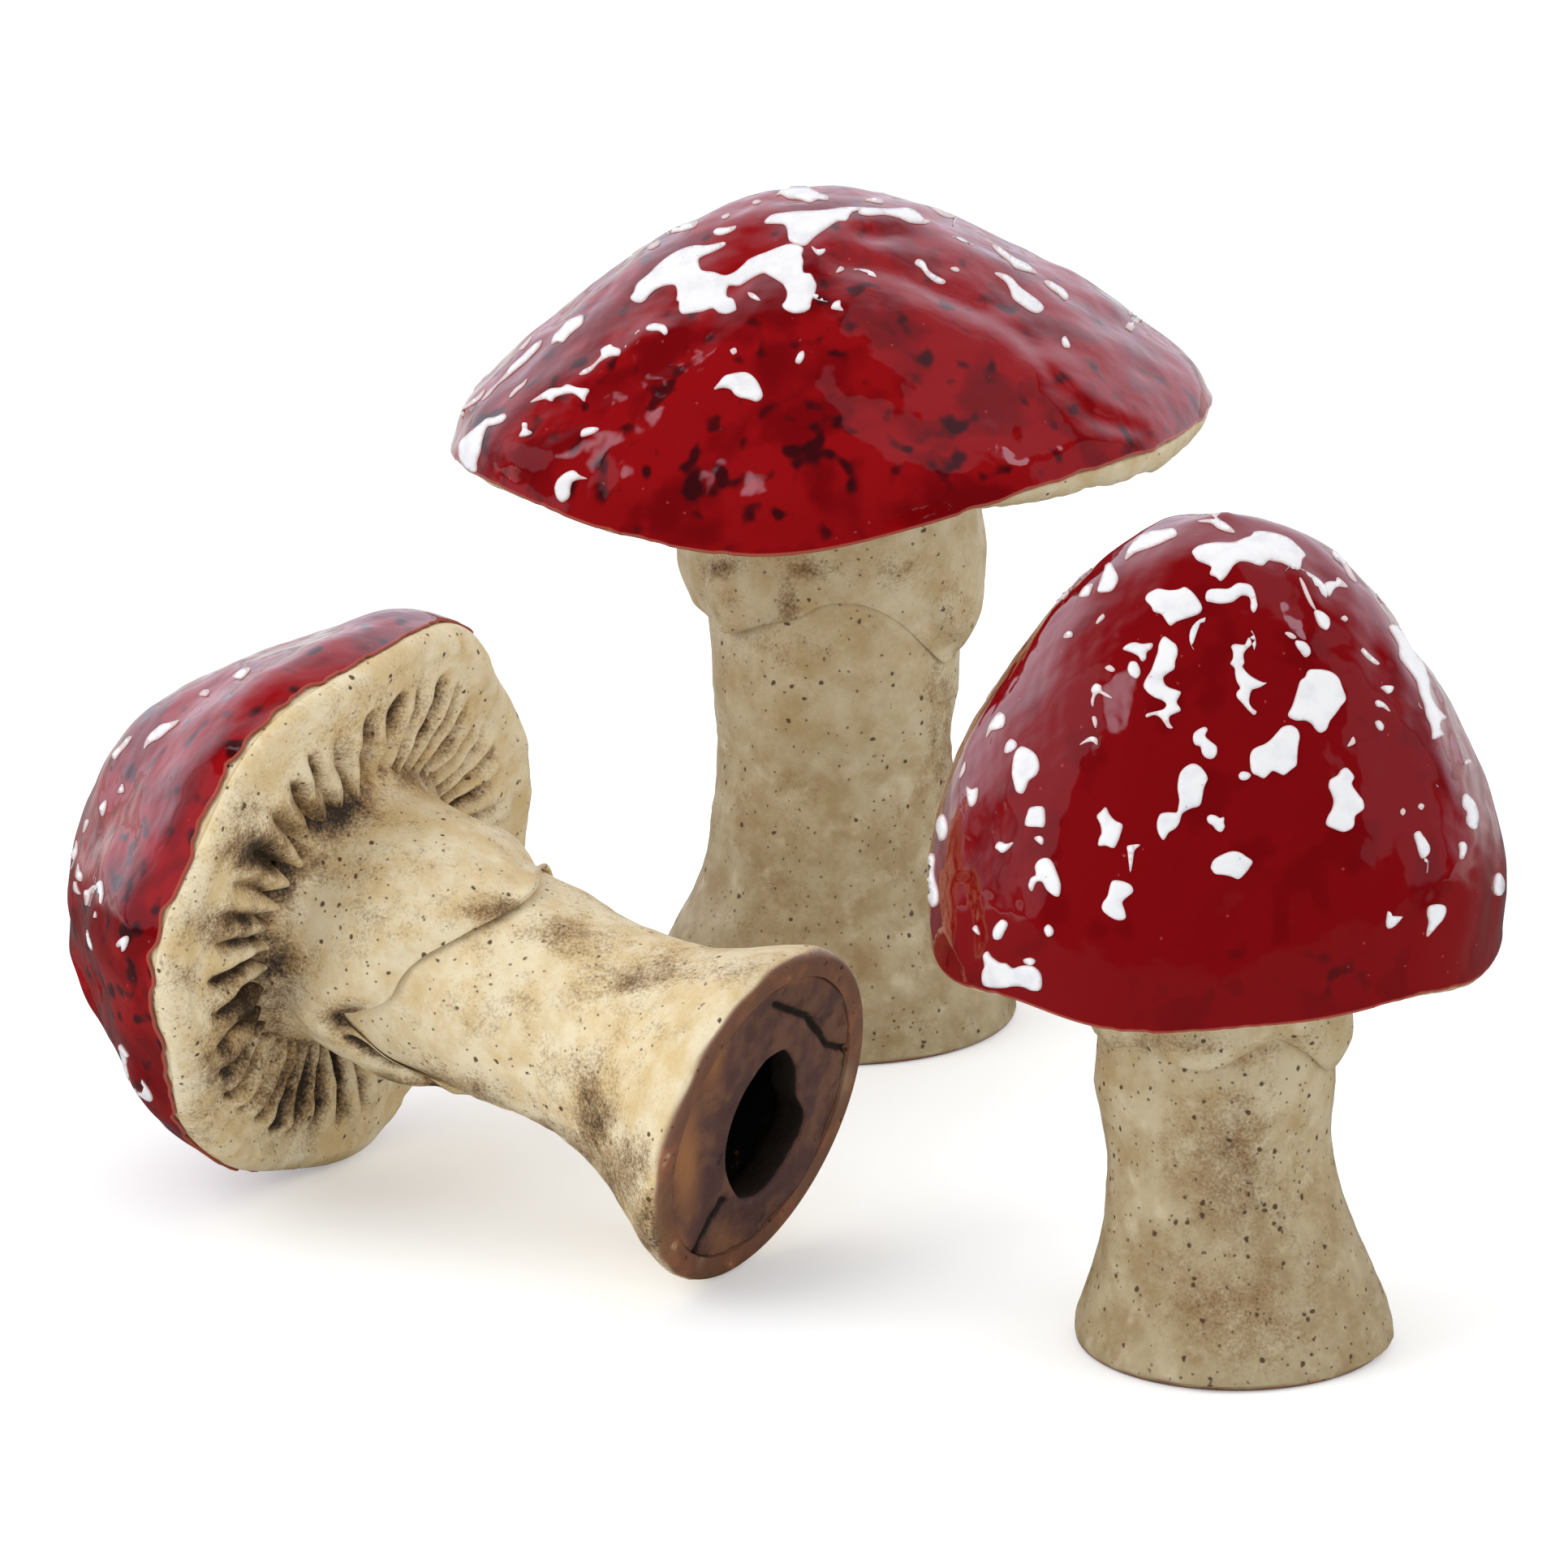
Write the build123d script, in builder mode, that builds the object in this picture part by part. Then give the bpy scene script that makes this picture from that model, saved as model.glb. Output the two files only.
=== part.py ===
from build123d import *
from dataclasses import dataclass
from math import atan2, cos, hypot, pi, radians, sin
import os

# A set of three hand-made stoneware mushrooms for a shelf or a garden stake: one with a
# wide parasol cap, one with a bell cap and one that lies on its side.
# Millimetres, +Z up, origin at the bottom centre of the whole set.
# Each mushroom is built upright over its own foot, then set down in its place.

# Clay, slip and glaze, alike on all three
CAP_WALL = 5.0  # clay wall of the domed cap
PLATE_THICKNESS = 5.0  # gill plate at its middle
STEM_WALL = 5.0  # clay wall of the hollow stem at its waist
BORE_LEDGE = 3.0  # bore of the stem beyond the stake hole, above the foot's disc
SLIP_GAP = 0.12  # joint of dried slip between two luted pieces
SKIRT_GAP = 0.25  # slip between the neck and the skirt pressed round it
GLAZE_THICKNESS = 0.8  # fired red glaze on the dome
GLAZE_BOND = 0.05  # between the clay dome and its glaze
PATCH_THICKNESS = 0.55  # white glaze pads at their middle
PATCH_EDGE = 0.25  # white glaze pads at their border
PATCH_BOND = 0.1  # between the red glaze and a white pad
LIP_DROP = 1.3  # how far the bare clay lip bulges below the glaze line
LIP_INSET = 0.5  # clay lip behind the glaze line
LIP_UNDER_WIDTH = 4.5  # flat underside of the lip
LIP_UNDER_DROP = 2.6  # underside of the lip below the glaze line
GILL_DEPTH = 0.8  # half the height of the gill ridges
GILL_MARGIN = 8.0  # plain band of the plate outside the gills

# The brown disc in the foot
RING_THICKNESS = 7.0
RING_BORDER = 2.0  # clay of the flare that is left round the top of the disc's seat
FOOT_BEVEL = 1.2  # worn edge at the bottom of the foot

# Spigot of the stem in the gill plate
SPIGOT_SHOULDER = 3.5  # ledge of the neck that the plate sits on
SPIGOT_STAND = 2.0  # spigot above the plate
SPIGOT_WALL = 4.5  # clay wall of the hollow spigot
NECK_LEAD = 2.5  # straight neck below the skirt's lowest lobe

# The wide mushroom
WIDE_RIM_HEIGHT = 100.5
WIDE_CAP_DEPTH = 37.4
WIDE_CAP_RADIUS = 59.6
WIDE_CAP_SHIFT = (-0.8, 0.0)
WIDE_APEX_SHIFT = (-3.2, 0.0)
WIDE_GILL_RISE = 3.5
WIDE_FOOT_RADIUS = 29.1
WIDE_WAIST_RADIUS = 19.2
WIDE_NECK_RADIUS = 20.2
WIDE_STAKE_RADIUS = 12.5
WIDE_WAIST_LENGTH = 9.6
WIDE_SKIRT_TOP_GAP = 3.0
WIDE_SKIRT_HEIGHT = 31.0
WIDE_SKIRT_THICKNESS = 3.3

# The bell mushroom
BELL_RIM_HEIGHT = 64.7
BELL_CAP_DEPTH = 66.6
BELL_CAP_RADIUS = 44.0
BELL_CAP_SHIFT = (-3.4, 0.0)
BELL_APEX_SHIFT = (1.0, 0.0)
BELL_GILL_RISE = 5.0
BELL_FOOT_RADIUS = 23.9
BELL_WAIST_RADIUS = 16.5
BELL_NECK_RADIUS = 17.2
BELL_STAKE_RADIUS = 10.5
BELL_WAIST_LENGTH = 6.44
BELL_SKIRT_TOP_GAP = 3.0
BELL_SKIRT_HEIGHT = 16.0
BELL_SKIRT_THICKNESS = 2.6

# The lying mushroom, measured as if it stood
LYING_RIM_HEIGHT = 80.5
LYING_CAP_DEPTH = 46.6
LYING_CAP_RADIUS = 48.5
LYING_CAP_SHIFT = (-0.4, -3.0)
LYING_APEX_SHIFT = (0.4, 3.0)
LYING_GILL_RISE = 3.5
LYING_FOOT_RADIUS = 27.4
LYING_WAIST_RADIUS = 17.9
LYING_NECK_RADIUS = 19.0
LYING_STAKE_RADIUS = 12.0
LYING_WAIST_LENGTH = 10.98
LYING_SKIRT_TOP_GAP = 4.0
LYING_SKIRT_HEIGHT = 22.0
LYING_SKIRT_THICKNESS = 3.2

# Where the feet stand, from the middle of the photographed arrangement
WIDE_PLACE = (9.1, 119.5)
BELL_PLACE = (68.3, -34.0)
LYING_PLACE = (-3.2, -9.0)
LYING_HEADING = -33.5  # degrees, from the cap to the foot

# Dome profiles: radius as a share of the cap's, drop as a share of the dome's depth
WIDE_DOME_SHARES = (
    (0.0, 0.0),
    (0.19, 0.03),
    (0.385, 0.165),
    (0.595, 0.355),
    (0.795, 0.60),
    (0.95, 0.83),
    (1.0, 1.0),
)
BELL_DOME_SHARES = (
    (0.0, 0.0),
    (0.30, 0.07),
    (0.55, 0.215),
    (0.75, 0.41),
    (0.90, 0.62),
    (0.985, 0.825),
    (0.98, 1.0),
)
LYING_DOME_SHARES = (
    (0.0, 0.0),
    (0.265, 0.08),
    (0.50, 0.22),
    (0.69, 0.415),
    (0.845, 0.63),
    (0.965, 0.825),
    (1.0, 1.0),
)

# Flares of the feet: height as a share of the flare's, spread as a share from waist to foot
WIDE_FLARE_SHARES = (
    (0.16, 0.98),
    (0.28, 0.83),
    (0.37, 0.66),
    (0.46, 0.42),
    (0.56, 0.22),
    (0.74, 0.11),
    (1.0, 0.0),
)
BELL_FLARE_SHARES = (
    (0.07, 1.0),
    (0.17, 0.87),
    (0.27, 0.69),
    (0.37, 0.51),
    (0.48, 0.32),
    (0.68, 0.11),
    (1.0, 0.0),
)

# Waves of the hand-formed rims: lobes, share of the cap's radius or depth, degrees
WIDE_RADIUS_WAVE_SHARES = (
    (2, 0.02, 47),
    (3, 0.02, 229),
    (4, 0.022, 27),
    (7, 0.006, 80),
    (11, 0.004, 10),
)
WIDE_HEIGHT_WAVE_SHARES = (
    (1, 0.098, 19),
    (2, 0.035, 274),
    (3, 0.044, 264),
    (4, 0.038, 97),
)
BELL_RADIUS_WAVE_SHARES = (
    (2, 0.025, 88),
    (4, 0.02, 253),
    (6, 0.01, 40),
    (9, 0.006, 15),
)
BELL_HEIGHT_WAVE_SHARES = (
    (2, 0.004, 257),
    (5, 0.01, 80),
    (8, 0.006, 20),
)
LYING_RADIUS_WAVE_SHARES = (
    (2, 0.065, 68),
    (3, 0.01, 135),
    (4, 0.016, 68),
    (7, 0.012, 200),
    (10, 0.006, 30),
)
LYING_HEIGHT_WAVE_SHARES = (
    (2, 0.016, 4),
    (3, 0.01, 313),
    (4, 0.012, 146),
    (8, 0.012, 60),
)

# Lower edges of the skirts: lobes, share of the skirt's height, degrees
WIDE_SKIRT_WAVE_SHARES = ((2, 0.14, 330), (3, 0.10, 200), (5, 0.06, 255))
BELL_SKIRT_WAVE_SHARES = ((2, 0.12, 270), (4, 0.10, 265), (7, 0.04, 30))
LYING_SKIRT_WAVE_SHARES = ((1, 0.24, 150), (3, 0.08, 160), (5, 0.04, 90))

# White patches: degrees round the cap, place on the profile, length and width as shares
# of the cap's radius, degrees turned from lying round the cap
WIDE_PATCH_SHARES = (
    (138, 0.06, 0.20, 0.08, 20),
    (266, 0.16, 0.26, 0.13, 10),
    (318, 0.16, 0.24, 0.07, 20),
    (216, 0.37, 0.34, 0.18, 0),
    (250, 0.33, 0.26, 0.18, 30),
    (185, 0.34, 0.12, 0.06, 0),
    (223, 0.51, 0.06, 0.05, 10),
    (198, 0.59, 0.09, 0.06, 50),
    (211, 0.62, 0.09, 0.04, 60),
    (188, 0.72, 0.26, 0.05, 75),
    (213, 0.71, 0.12, 0.04, 0),
    (202, 0.87, 0.16, 0.08, 80),
    (222, 0.76, 0.06, 0.04, 0),
    (223, 0.90, 0.08, 0.08, 40),
    (251, 0.59, 0.14, 0.09, 10),
    (314, 0.37, 0.10, 0.05, 50),
    (358, 0.45, 0.14, 0.07, 70),
    (336, 0.50, 0.16, 0.08, 40),
    (350, 0.54, 0.09, 0.06, 30),
    (16, 0.70, 0.10, 0.05, 0),
    (40, 0.42, 0.18, 0.09, 20),
    (60, 0.72, 0.12, 0.07, 60),
    (85, 0.26, 0.22, 0.12, 0),
    (98, 0.60, 0.18, 0.08, 35),
    (125, 0.80, 0.12, 0.07, 70),
    (150, 0.50, 0.20, 0.10, 15),
)
BELL_PATCH_SHARES = (
    (243, 0.05, 0.14, 0.08, 0),
    (285, 0.14, 0.36, 0.16, 0),
    (199, 0.14, 0.18, 0.10, 20),
    (164, 0.32, 0.13, 0.06, 50),
    (196, 0.25, 0.11, 0.07, 80),
    (244, 0.25, 0.19, 0.13, 0),
    (270, 0.23, 0.18, 0.08, 0),
    (247, 0.39, 0.32, 0.12, 85),
    (236, 0.33, 0.11, 0.06, 10),
    (191, 0.54, 0.14, 0.07, 80),
    (212, 0.57, 0.20, 0.12, 80),
    (261, 0.48, 0.12, 0.07, 80),
    (258, 0.55, 0.18, 0.10, 80),
    (252, 0.61, 0.09, 0.07, 30),
    (272, 0.38, 0.24, 0.08, 80),
    (295, 0.43, 0.22, 0.20, 0),
    (280, 0.50, 0.18, 0.16, 40),
    (309, 0.29, 0.08, 0.06, 60),
    (329, 0.24, 0.10, 0.06, 30),
    (335, 0.42, 0.42, 0.09, 85),
    (296, 0.59, 0.22, 0.12, 80),
    (335, 0.67, 0.13, 0.07, 80),
    (315, 0.69, 0.10, 0.05, 80),
    (315, 0.83, 0.11, 0.06, 75),
    (267, 0.67, 0.14, 0.09, 10),
    (221, 0.64, 0.07, 0.07, 0),
    (240, 0.64, 0.13, 0.08, 80),
    (183, 0.86, 0.18, 0.06, 85),
    (228, 0.73, 0.13, 0.09, 80),
    (245, 0.75, 0.14, 0.10, 80),
    (223, 0.92, 0.20, 0.09, 5),
    (20, 0.30, 0.20, 0.09, 30),
    (45, 0.52, 0.16, 0.12, 70),
    (70, 0.30, 0.22, 0.13, 0),
    (88, 0.66, 0.16, 0.09, 60),
    (110, 0.45, 0.20, 0.12, 80),
    (135, 0.74, 0.13, 0.09, 20),
    (150, 0.50, 0.18, 0.10, 85),
)
LYING_PATCH_SHARES = (
    (254, 0.70, 0.14, 0.06, 60),
    (236, 0.56, 0.22, 0.10, 50),
    (271, 0.88, 0.10, 0.05, 20),
    (216, 0.46, 0.12, 0.06, 80),
    (188, 0.46, 0.16, 0.09, 0),
    (150, 0.56, 0.16, 0.08, 40),
    (160, 0.88, 0.12, 0.07, 20),
    (110, 0.72, 0.16, 0.07, 0),
    (120, 0.38, 0.18, 0.12, 30),
    (70, 0.52, 0.22, 0.11, 70),
    (30, 0.68, 0.13, 0.07, 10),
    (20, 0.36, 0.26, 0.14, 0),
    (330, 0.50, 0.20, 0.10, 60),
    (300, 0.28, 0.24, 0.13, 20),
    (200, 0.12, 0.26, 0.15, 0),
)
PATCH_LOBE_SHARES = ((2, 0.10, 30), (3, 0.16, 80), (5, 0.10, 200))
PATCH_CROWN_SHARE = 0.6  # how far out a pad keeps its full thickness

# Where the gills' rings lie between the outer band and the neck
GILL_RING_SHARES = (1.0, 0.8, 0.6, 0.4, 0.2, 0.0)

# A skirt's section: thickness at its top, at its bulge and at its edge, as shares of the
# full thickness, and how far down the bulge and the inner edge lie as shares of its droop
SKIRT_TOP_SHARE = 0.35
SKIRT_EDGE_SHARE = 0.6
SKIRT_BULGE_DROP_SHARE = 0.75
SKIRT_INNER_DROP_SHARE = 0.97

WIDE_GILL_COUNT = 44
BELL_GILL_COUNT = 36
LYING_GILL_COUNT = 40

# How finely the curved skins are drawn: stations down a dome, points round a ring and over
# each gill
DOME_STATION_COUNT = 14
RING_POINT_COUNT = 48
GILL_POINT_COUNT = 4
PATCH_POINT_COUNT = 14
SETTLING_STEP_COUNT = 5


@dataclass
class Mushroom:
    """One mushroom's own sizes, standing upright over the middle of its foot."""

    name: str
    rim_height: float
    depth: float
    cap_radius: float
    cap_shift: tuple
    apex_shift: tuple
    gill_rise: float
    foot_radius: float
    waist_radius: float
    neck_radius: float
    stake_radius: float
    waist_length: float
    skirt_top_gap: float
    skirt_height: float
    skirt_thickness: float
    dome_shares: tuple
    flare_shares: tuple
    radius_wave_shares: tuple
    height_wave_shares: tuple
    skirt_wave_shares: tuple
    patch_shares: tuple
    gills: int

    @property
    def height(self):
        """Height of the dome's top."""
        return self.rim_height + self.depth

    @property
    def neck_height(self):
        """Height of the stem's shoulder, under the gill plate."""
        return self.rim_height - LIP_UNDER_DROP + self.gill_rise

    @property
    def neck_length(self):
        """Straight neck that the skirt is pressed round, to just below its lowest lobe."""
        droop = 1 + sum(share for _, share, _ in self.skirt_wave_shares)
        return self.skirt_top_gap + self.skirt_height * droop + NECK_LEAD

    @property
    def neck_start(self):
        """Height where the straight neck begins."""
        return self.neck_height - self.neck_length

    @property
    def flare_height(self):
        """Height of the foot's flare, below the stem's straight waist."""
        return self.neck_start - self.waist_length

    @property
    def spigot_radius(self):
        """Radius of the spigot that enters the gill plate."""
        return self.neck_radius - SPIGOT_SHOULDER

    @property
    def spread(self):
        """How far the foot spreads beyond the waist."""
        return self.foot_radius - self.waist_radius

    @property
    def ring_radius(self):
        """Radius of the brown disc in the foot, inside the flare where its seat ends."""
        return self.flare_radius(RING_THICKNESS + SLIP_GAP) - SLIP_GAP - RING_BORDER

    def flare_radius(self, z):
        """Radius of the flared foot at a height, on straight lines between its sections."""
        place = z / self.flare_height
        sections = [(0, 1), *self.flare_shares]
        for (low, wide), (high, narrow) in zip(sections, sections[1:]):
            if place <= high:
                share = wide + (narrow - wide) * (place - low) / (high - low)
                return self.waist_radius + self.spread * share
        return self.waist_radius


WIDE = Mushroom(
    name="wide",
    rim_height=WIDE_RIM_HEIGHT,
    depth=WIDE_CAP_DEPTH,
    cap_radius=WIDE_CAP_RADIUS,
    cap_shift=WIDE_CAP_SHIFT,
    apex_shift=WIDE_APEX_SHIFT,
    gill_rise=WIDE_GILL_RISE,
    foot_radius=WIDE_FOOT_RADIUS,
    waist_radius=WIDE_WAIST_RADIUS,
    neck_radius=WIDE_NECK_RADIUS,
    stake_radius=WIDE_STAKE_RADIUS,
    waist_length=WIDE_WAIST_LENGTH,
    skirt_top_gap=WIDE_SKIRT_TOP_GAP,
    skirt_height=WIDE_SKIRT_HEIGHT,
    skirt_thickness=WIDE_SKIRT_THICKNESS,
    dome_shares=WIDE_DOME_SHARES,
    flare_shares=WIDE_FLARE_SHARES,
    radius_wave_shares=WIDE_RADIUS_WAVE_SHARES,
    height_wave_shares=WIDE_HEIGHT_WAVE_SHARES,
    skirt_wave_shares=WIDE_SKIRT_WAVE_SHARES,
    patch_shares=WIDE_PATCH_SHARES,
    gills=WIDE_GILL_COUNT,
)
BELL = Mushroom(
    name="bell",
    rim_height=BELL_RIM_HEIGHT,
    depth=BELL_CAP_DEPTH,
    cap_radius=BELL_CAP_RADIUS,
    cap_shift=BELL_CAP_SHIFT,
    apex_shift=BELL_APEX_SHIFT,
    gill_rise=BELL_GILL_RISE,
    foot_radius=BELL_FOOT_RADIUS,
    waist_radius=BELL_WAIST_RADIUS,
    neck_radius=BELL_NECK_RADIUS,
    stake_radius=BELL_STAKE_RADIUS,
    waist_length=BELL_WAIST_LENGTH,
    skirt_top_gap=BELL_SKIRT_TOP_GAP,
    skirt_height=BELL_SKIRT_HEIGHT,
    skirt_thickness=BELL_SKIRT_THICKNESS,
    dome_shares=BELL_DOME_SHARES,
    flare_shares=BELL_FLARE_SHARES,
    radius_wave_shares=BELL_RADIUS_WAVE_SHARES,
    height_wave_shares=BELL_HEIGHT_WAVE_SHARES,
    skirt_wave_shares=BELL_SKIRT_WAVE_SHARES,
    patch_shares=BELL_PATCH_SHARES,
    gills=BELL_GILL_COUNT,
)
LYING = Mushroom(
    name="lying",
    rim_height=LYING_RIM_HEIGHT,
    depth=LYING_CAP_DEPTH,
    cap_radius=LYING_CAP_RADIUS,
    cap_shift=LYING_CAP_SHIFT,
    apex_shift=LYING_APEX_SHIFT,
    gill_rise=LYING_GILL_RISE,
    foot_radius=LYING_FOOT_RADIUS,
    waist_radius=LYING_WAIST_RADIUS,
    neck_radius=LYING_NECK_RADIUS,
    stake_radius=LYING_STAKE_RADIUS,
    waist_length=LYING_WAIST_LENGTH,
    skirt_top_gap=LYING_SKIRT_TOP_GAP,
    skirt_height=LYING_SKIRT_HEIGHT,
    skirt_thickness=LYING_SKIRT_THICKNESS,
    dome_shares=LYING_DOME_SHARES,
    flare_shares=BELL_FLARE_SHARES,
    radius_wave_shares=LYING_RADIUS_WAVE_SHARES,
    height_wave_shares=LYING_HEIGHT_WAVE_SHARES,
    skirt_wave_shares=LYING_SKIRT_WAVE_SHARES,
    patch_shares=LYING_PATCH_SHARES,
    gills=LYING_GILL_COUNT,
)


# Curves and skins


def wave(lobes, turn):
    """Sum of the (lobes, share, degrees) waves at a turn given in radians."""
    return sum(share * cos(count * turn - radians(phase)) for count, share, phase in lobes)


def smooth(table, place):
    """A point on the smooth curve through a table of pairs, place running from 0 to 1."""
    spans = len(table) - 1
    span = min(int(place * spans), spans - 1)
    rest = place * spans - span
    before = table[span - 1] if span > 0 else [2 * a - b for a, b in zip(table[0], table[1])]
    start = table[span]
    end = table[span + 1]
    last = spans - 1
    after = table[span + 2] if span < last else [2 * a - b for a, b in zip(end, start)]
    pair = []
    for a, b, c, d in zip(before, start, end, after):
        slope = 2 * b + (c - a) * rest
        bend = (2 * a - 5 * b + 4 * c - d) * rest**2
        twist = (3 * b - a - 3 * c + d) * rest**3
        pair.append((slope + bend + twist) / 2)
    return pair


def ring_wire(point_at, count=RING_POINT_COUNT):
    """A closed smooth wire through the points that point_at gives at even turns."""
    turns = [2 * pi * index / count for index in range(count)]
    knots = [index / count for index in range(count + 1)]
    with BuildLine() as line:
        add(Edge.make_spline([point_at(turn) for turn in turns], periodic=True, parameters=knots))
    return line.wire()


def sewn_solid(*skins):
    """One closed solid from skins that share their border wires."""
    faces = [face for skin in skins for face in skin.faces()]
    return Solid(Shell(faces))


# The cap


def dome_normal(m, place):
    """Outward direction of the dome's profile, turning level towards the rim."""
    step = 1 / (len(m.dome_shares) * DOME_STATION_COUNT)
    low = smooth(m.dome_shares, max(place - step, 0))
    high = smooth(m.dome_shares, min(place + step, 1))
    out = (high[1] - low[1]) * m.depth
    up = (high[0] - low[0]) * m.cap_radius * (1 - place**6)
    length = hypot(out, up)
    return out / length, up / length


def dome_point(m, place, turn, inset=0.0):
    """A point of the dome, place running from the top to the rim, inset into the clay."""
    radius_share, drop_share = smooth(m.dome_shares, place)
    out, up = dome_normal(m, place)
    radius = m.cap_radius * radius_share * (1 + wave(m.radius_wave_shares, turn) * place)
    radius -= inset * out
    z = m.height - m.depth * drop_share - inset * up
    z += m.depth * wave(m.height_wave_shares, turn) * place**2
    fade = 1 - min(radius_share, 1) ** 2
    x = m.cap_shift[0] + m.apex_shift[0] * fade + radius * cos(turn)
    y = m.cap_shift[1] + m.apex_shift[1] * fade + radius * sin(turn)
    return x, y, z


def dome_wires(m, inset):
    """The tip and the wires of a dome, from its top to its rim."""
    tip = Vertex(
        m.cap_shift[0] + m.apex_shift[0],
        m.cap_shift[1] + m.apex_shift[1],
        m.height - inset,
    )
    places = [station / DOME_STATION_COUNT for station in range(1, DOME_STATION_COUNT + 1)]
    wires = [ring_wire(lambda turn, p=place: dome_point(m, p, turn, inset)) for place in places]
    return tip, wires


def dome_layer(m, outer_inset, inner_inset):
    """A domed layer between two insets, closed by a level band at the rim."""
    outer_tip, outer = dome_wires(m, outer_inset)
    inner_tip, inner = dome_wires(m, inner_inset)
    return sewn_solid(
        Shell.make_loft([outer_tip, *outer]),
        Shell.make_loft([inner_tip, *inner]),
        Shell.make_loft([outer[-1], inner[-1]], ruled=True),
    )


def make_red_glaze(m):
    """The fired red coat on the dome."""
    with BuildPart() as red_glaze:
        add(dome_layer(m, 0, GLAZE_THICKNESS))
    return red_glaze.part


def make_cap_shell(m):
    """The domed clay wall under the glaze, hollow inside."""
    outside = GLAZE_THICKNESS + GLAZE_BOND
    with BuildPart() as cap_shell:
        add(dome_layer(m, outside, outside + CAP_WALL))
    return cap_shell.part


def patch_point(face, m, patch, turn, spread, lift):
    """A point of a white pad: spread from its middle to its border, lifted off the glaze."""
    around, place, length, width, tilt = patch
    wobble = 1 + wave(PATCH_LOBE_SHARES, turn + radians(around * len(m.patch_shares)))
    along = length * spread * wobble * cos(turn) / 2
    across = width * spread * wobble * sin(turn) / 2
    sideways = along * cos(radians(tilt)) - across * sin(radians(tilt))
    downwards = along * sin(radians(tilt)) + across * cos(radians(tilt))
    radius_share, _ = smooth(m.dome_shares, place)
    profile = hypot(m.cap_radius, m.depth)
    u = radians(around) + sideways / max(radius_share, width)
    v = min(place + downwards * m.cap_radius / profile, 1)
    foot = face.position_at((u / (2 * pi)) % 1, v)
    normal = face.normal_at((u / (2 * pi)) % 1, v)
    middle = Vector(m.cap_shift[0], m.cap_shift[1], m.rim_height)
    outward = normal if normal.dot(foot - middle) > 0 else -normal
    return foot + outward * lift


def patch_ring(face, m, patch, spread, lift):
    """A wire round a white pad at one spread and one lift."""
    return ring_wire(lambda turn: patch_point(face, m, patch, turn, spread, lift), PATCH_POINT_COUNT)


def make_white_patches(m, red_glaze):
    """The raised pads of white glaze, one solid each, laid on the red."""
    face = red_glaze.faces().sort_by(SortBy.AREA)[-1]
    crown = PATCH_BOND + PATCH_THICKNESS
    edge = PATCH_BOND + PATCH_EDGE
    pads = []
    for patch in m.patch_shares:
        skins = []
        borders = []
        for middle_lift, border_lift in ((PATCH_BOND, PATCH_BOND), (crown, edge)):
            middle = patch_point(face, m, patch, 0, 0, middle_lift)
            crown_wire = patch_ring(face, m, patch, PATCH_CROWN_SHARE, middle_lift)
            borders.append(patch_ring(face, m, patch, 1, border_lift))
            skins.append(Shell.make_loft([Vertex(*middle), crown_wire, borders[-1]]))
        pads.append(sewn_solid(*skins, Shell.make_loft(borders, ruled=True)))
    return Compound(pads)


# The gill plate


def rim_point(m, turn, inset, drop):
    """A point beside the dome's rim, inset towards the stem and dropped below it."""
    x, y, z = dome_point(m, 1, turn, inset)
    return x, y, z - drop


def gill_point(m, turn, share):
    """A point of the gilled underside, share running from the neck to the gills' end."""
    inner = m.neck_radius + SKIRT_GAP
    out_x, out_y, out_z = rim_point(m, turn, GILL_MARGIN, LIP_UNDER_DROP)
    in_x = m.cap_shift[0] + inner * cos(turn)
    in_y = m.cap_shift[1] + inner * sin(turn)
    ridge = GILL_DEPTH * cos(m.gills * turn) * sin(pi * share) ** 0.5
    hollow = (m.gill_rise + SLIP_GAP) * (1 - share) ** 2
    level = m.rim_height - LIP_UNDER_DROP
    z = level + hollow + (out_z - level) * share + ridge
    return in_x + (out_x - in_x) * share, in_y + (out_y - in_y) * share, z


def level_ring(m, radius, z, count):
    """A level round wire about the cap's axis."""
    x, y = m.cap_shift
    return ring_wire(lambda turn: (x + radius * cos(turn), y + radius * sin(turn), z), count)


def make_gill_plate(m):
    """The clay underside: lip, gills and the hole for the stem's spigot."""
    count = m.gills * GILL_POINT_COUNT
    hole = m.spigot_radius + SLIP_GAP
    seat = m.neck_height + SLIP_GAP
    top = seat + PLATE_THICKNESS
    ledge = LIP_INSET + GLAZE_THICKNESS + CAP_WALL
    rim_top = ring_wire(lambda turn: rim_point(m, turn, LIP_INSET, SLIP_GAP), count)
    ledge_end = ring_wire(lambda turn: rim_point(m, turn, ledge, SLIP_GAP), count)
    bulge = ring_wire(lambda turn: rim_point(m, turn, LIP_INSET, LIP_DROP), count)
    lip = ring_wire(lambda turn: rim_point(m, turn, LIP_UNDER_WIDTH, LIP_UNDER_DROP), count)
    gills = [
        ring_wire(lambda turn, s=share: gill_point(m, turn, s), count)
        for share in GILL_RING_SHARES
    ]
    hole_bottom = level_ring(m, hole, seat, count)
    hole_top = level_ring(m, hole, top, count)
    with BuildPart() as gill_plate:
        add(
            sewn_solid(
                Shell.make_loft([hole_top, ledge_end], ruled=True),
                Shell.make_loft([ledge_end, rim_top], ruled=True),
                Shell.make_loft([rim_top, bulge, lip]),
                Shell.make_loft([lip, *gills]),
                Shell.make_loft([gills[-1], hole_bottom], ruled=True),
                Shell.make_loft([hole_bottom, hole_top], ruled=True),
            )
        )
    return gill_plate.part


# The stem and what is on it


def stem_radius_sections(m):
    """Heights and radii of the stem from its flared foot to the start of its neck."""
    sections = [(0, m.foot_radius)]
    for height_share, spread_share in m.flare_shares:
        sections.append((m.flare_height * height_share, m.waist_radius + m.spread * spread_share))
    sections.append((m.neck_start, m.neck_radius))
    return sections


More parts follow.
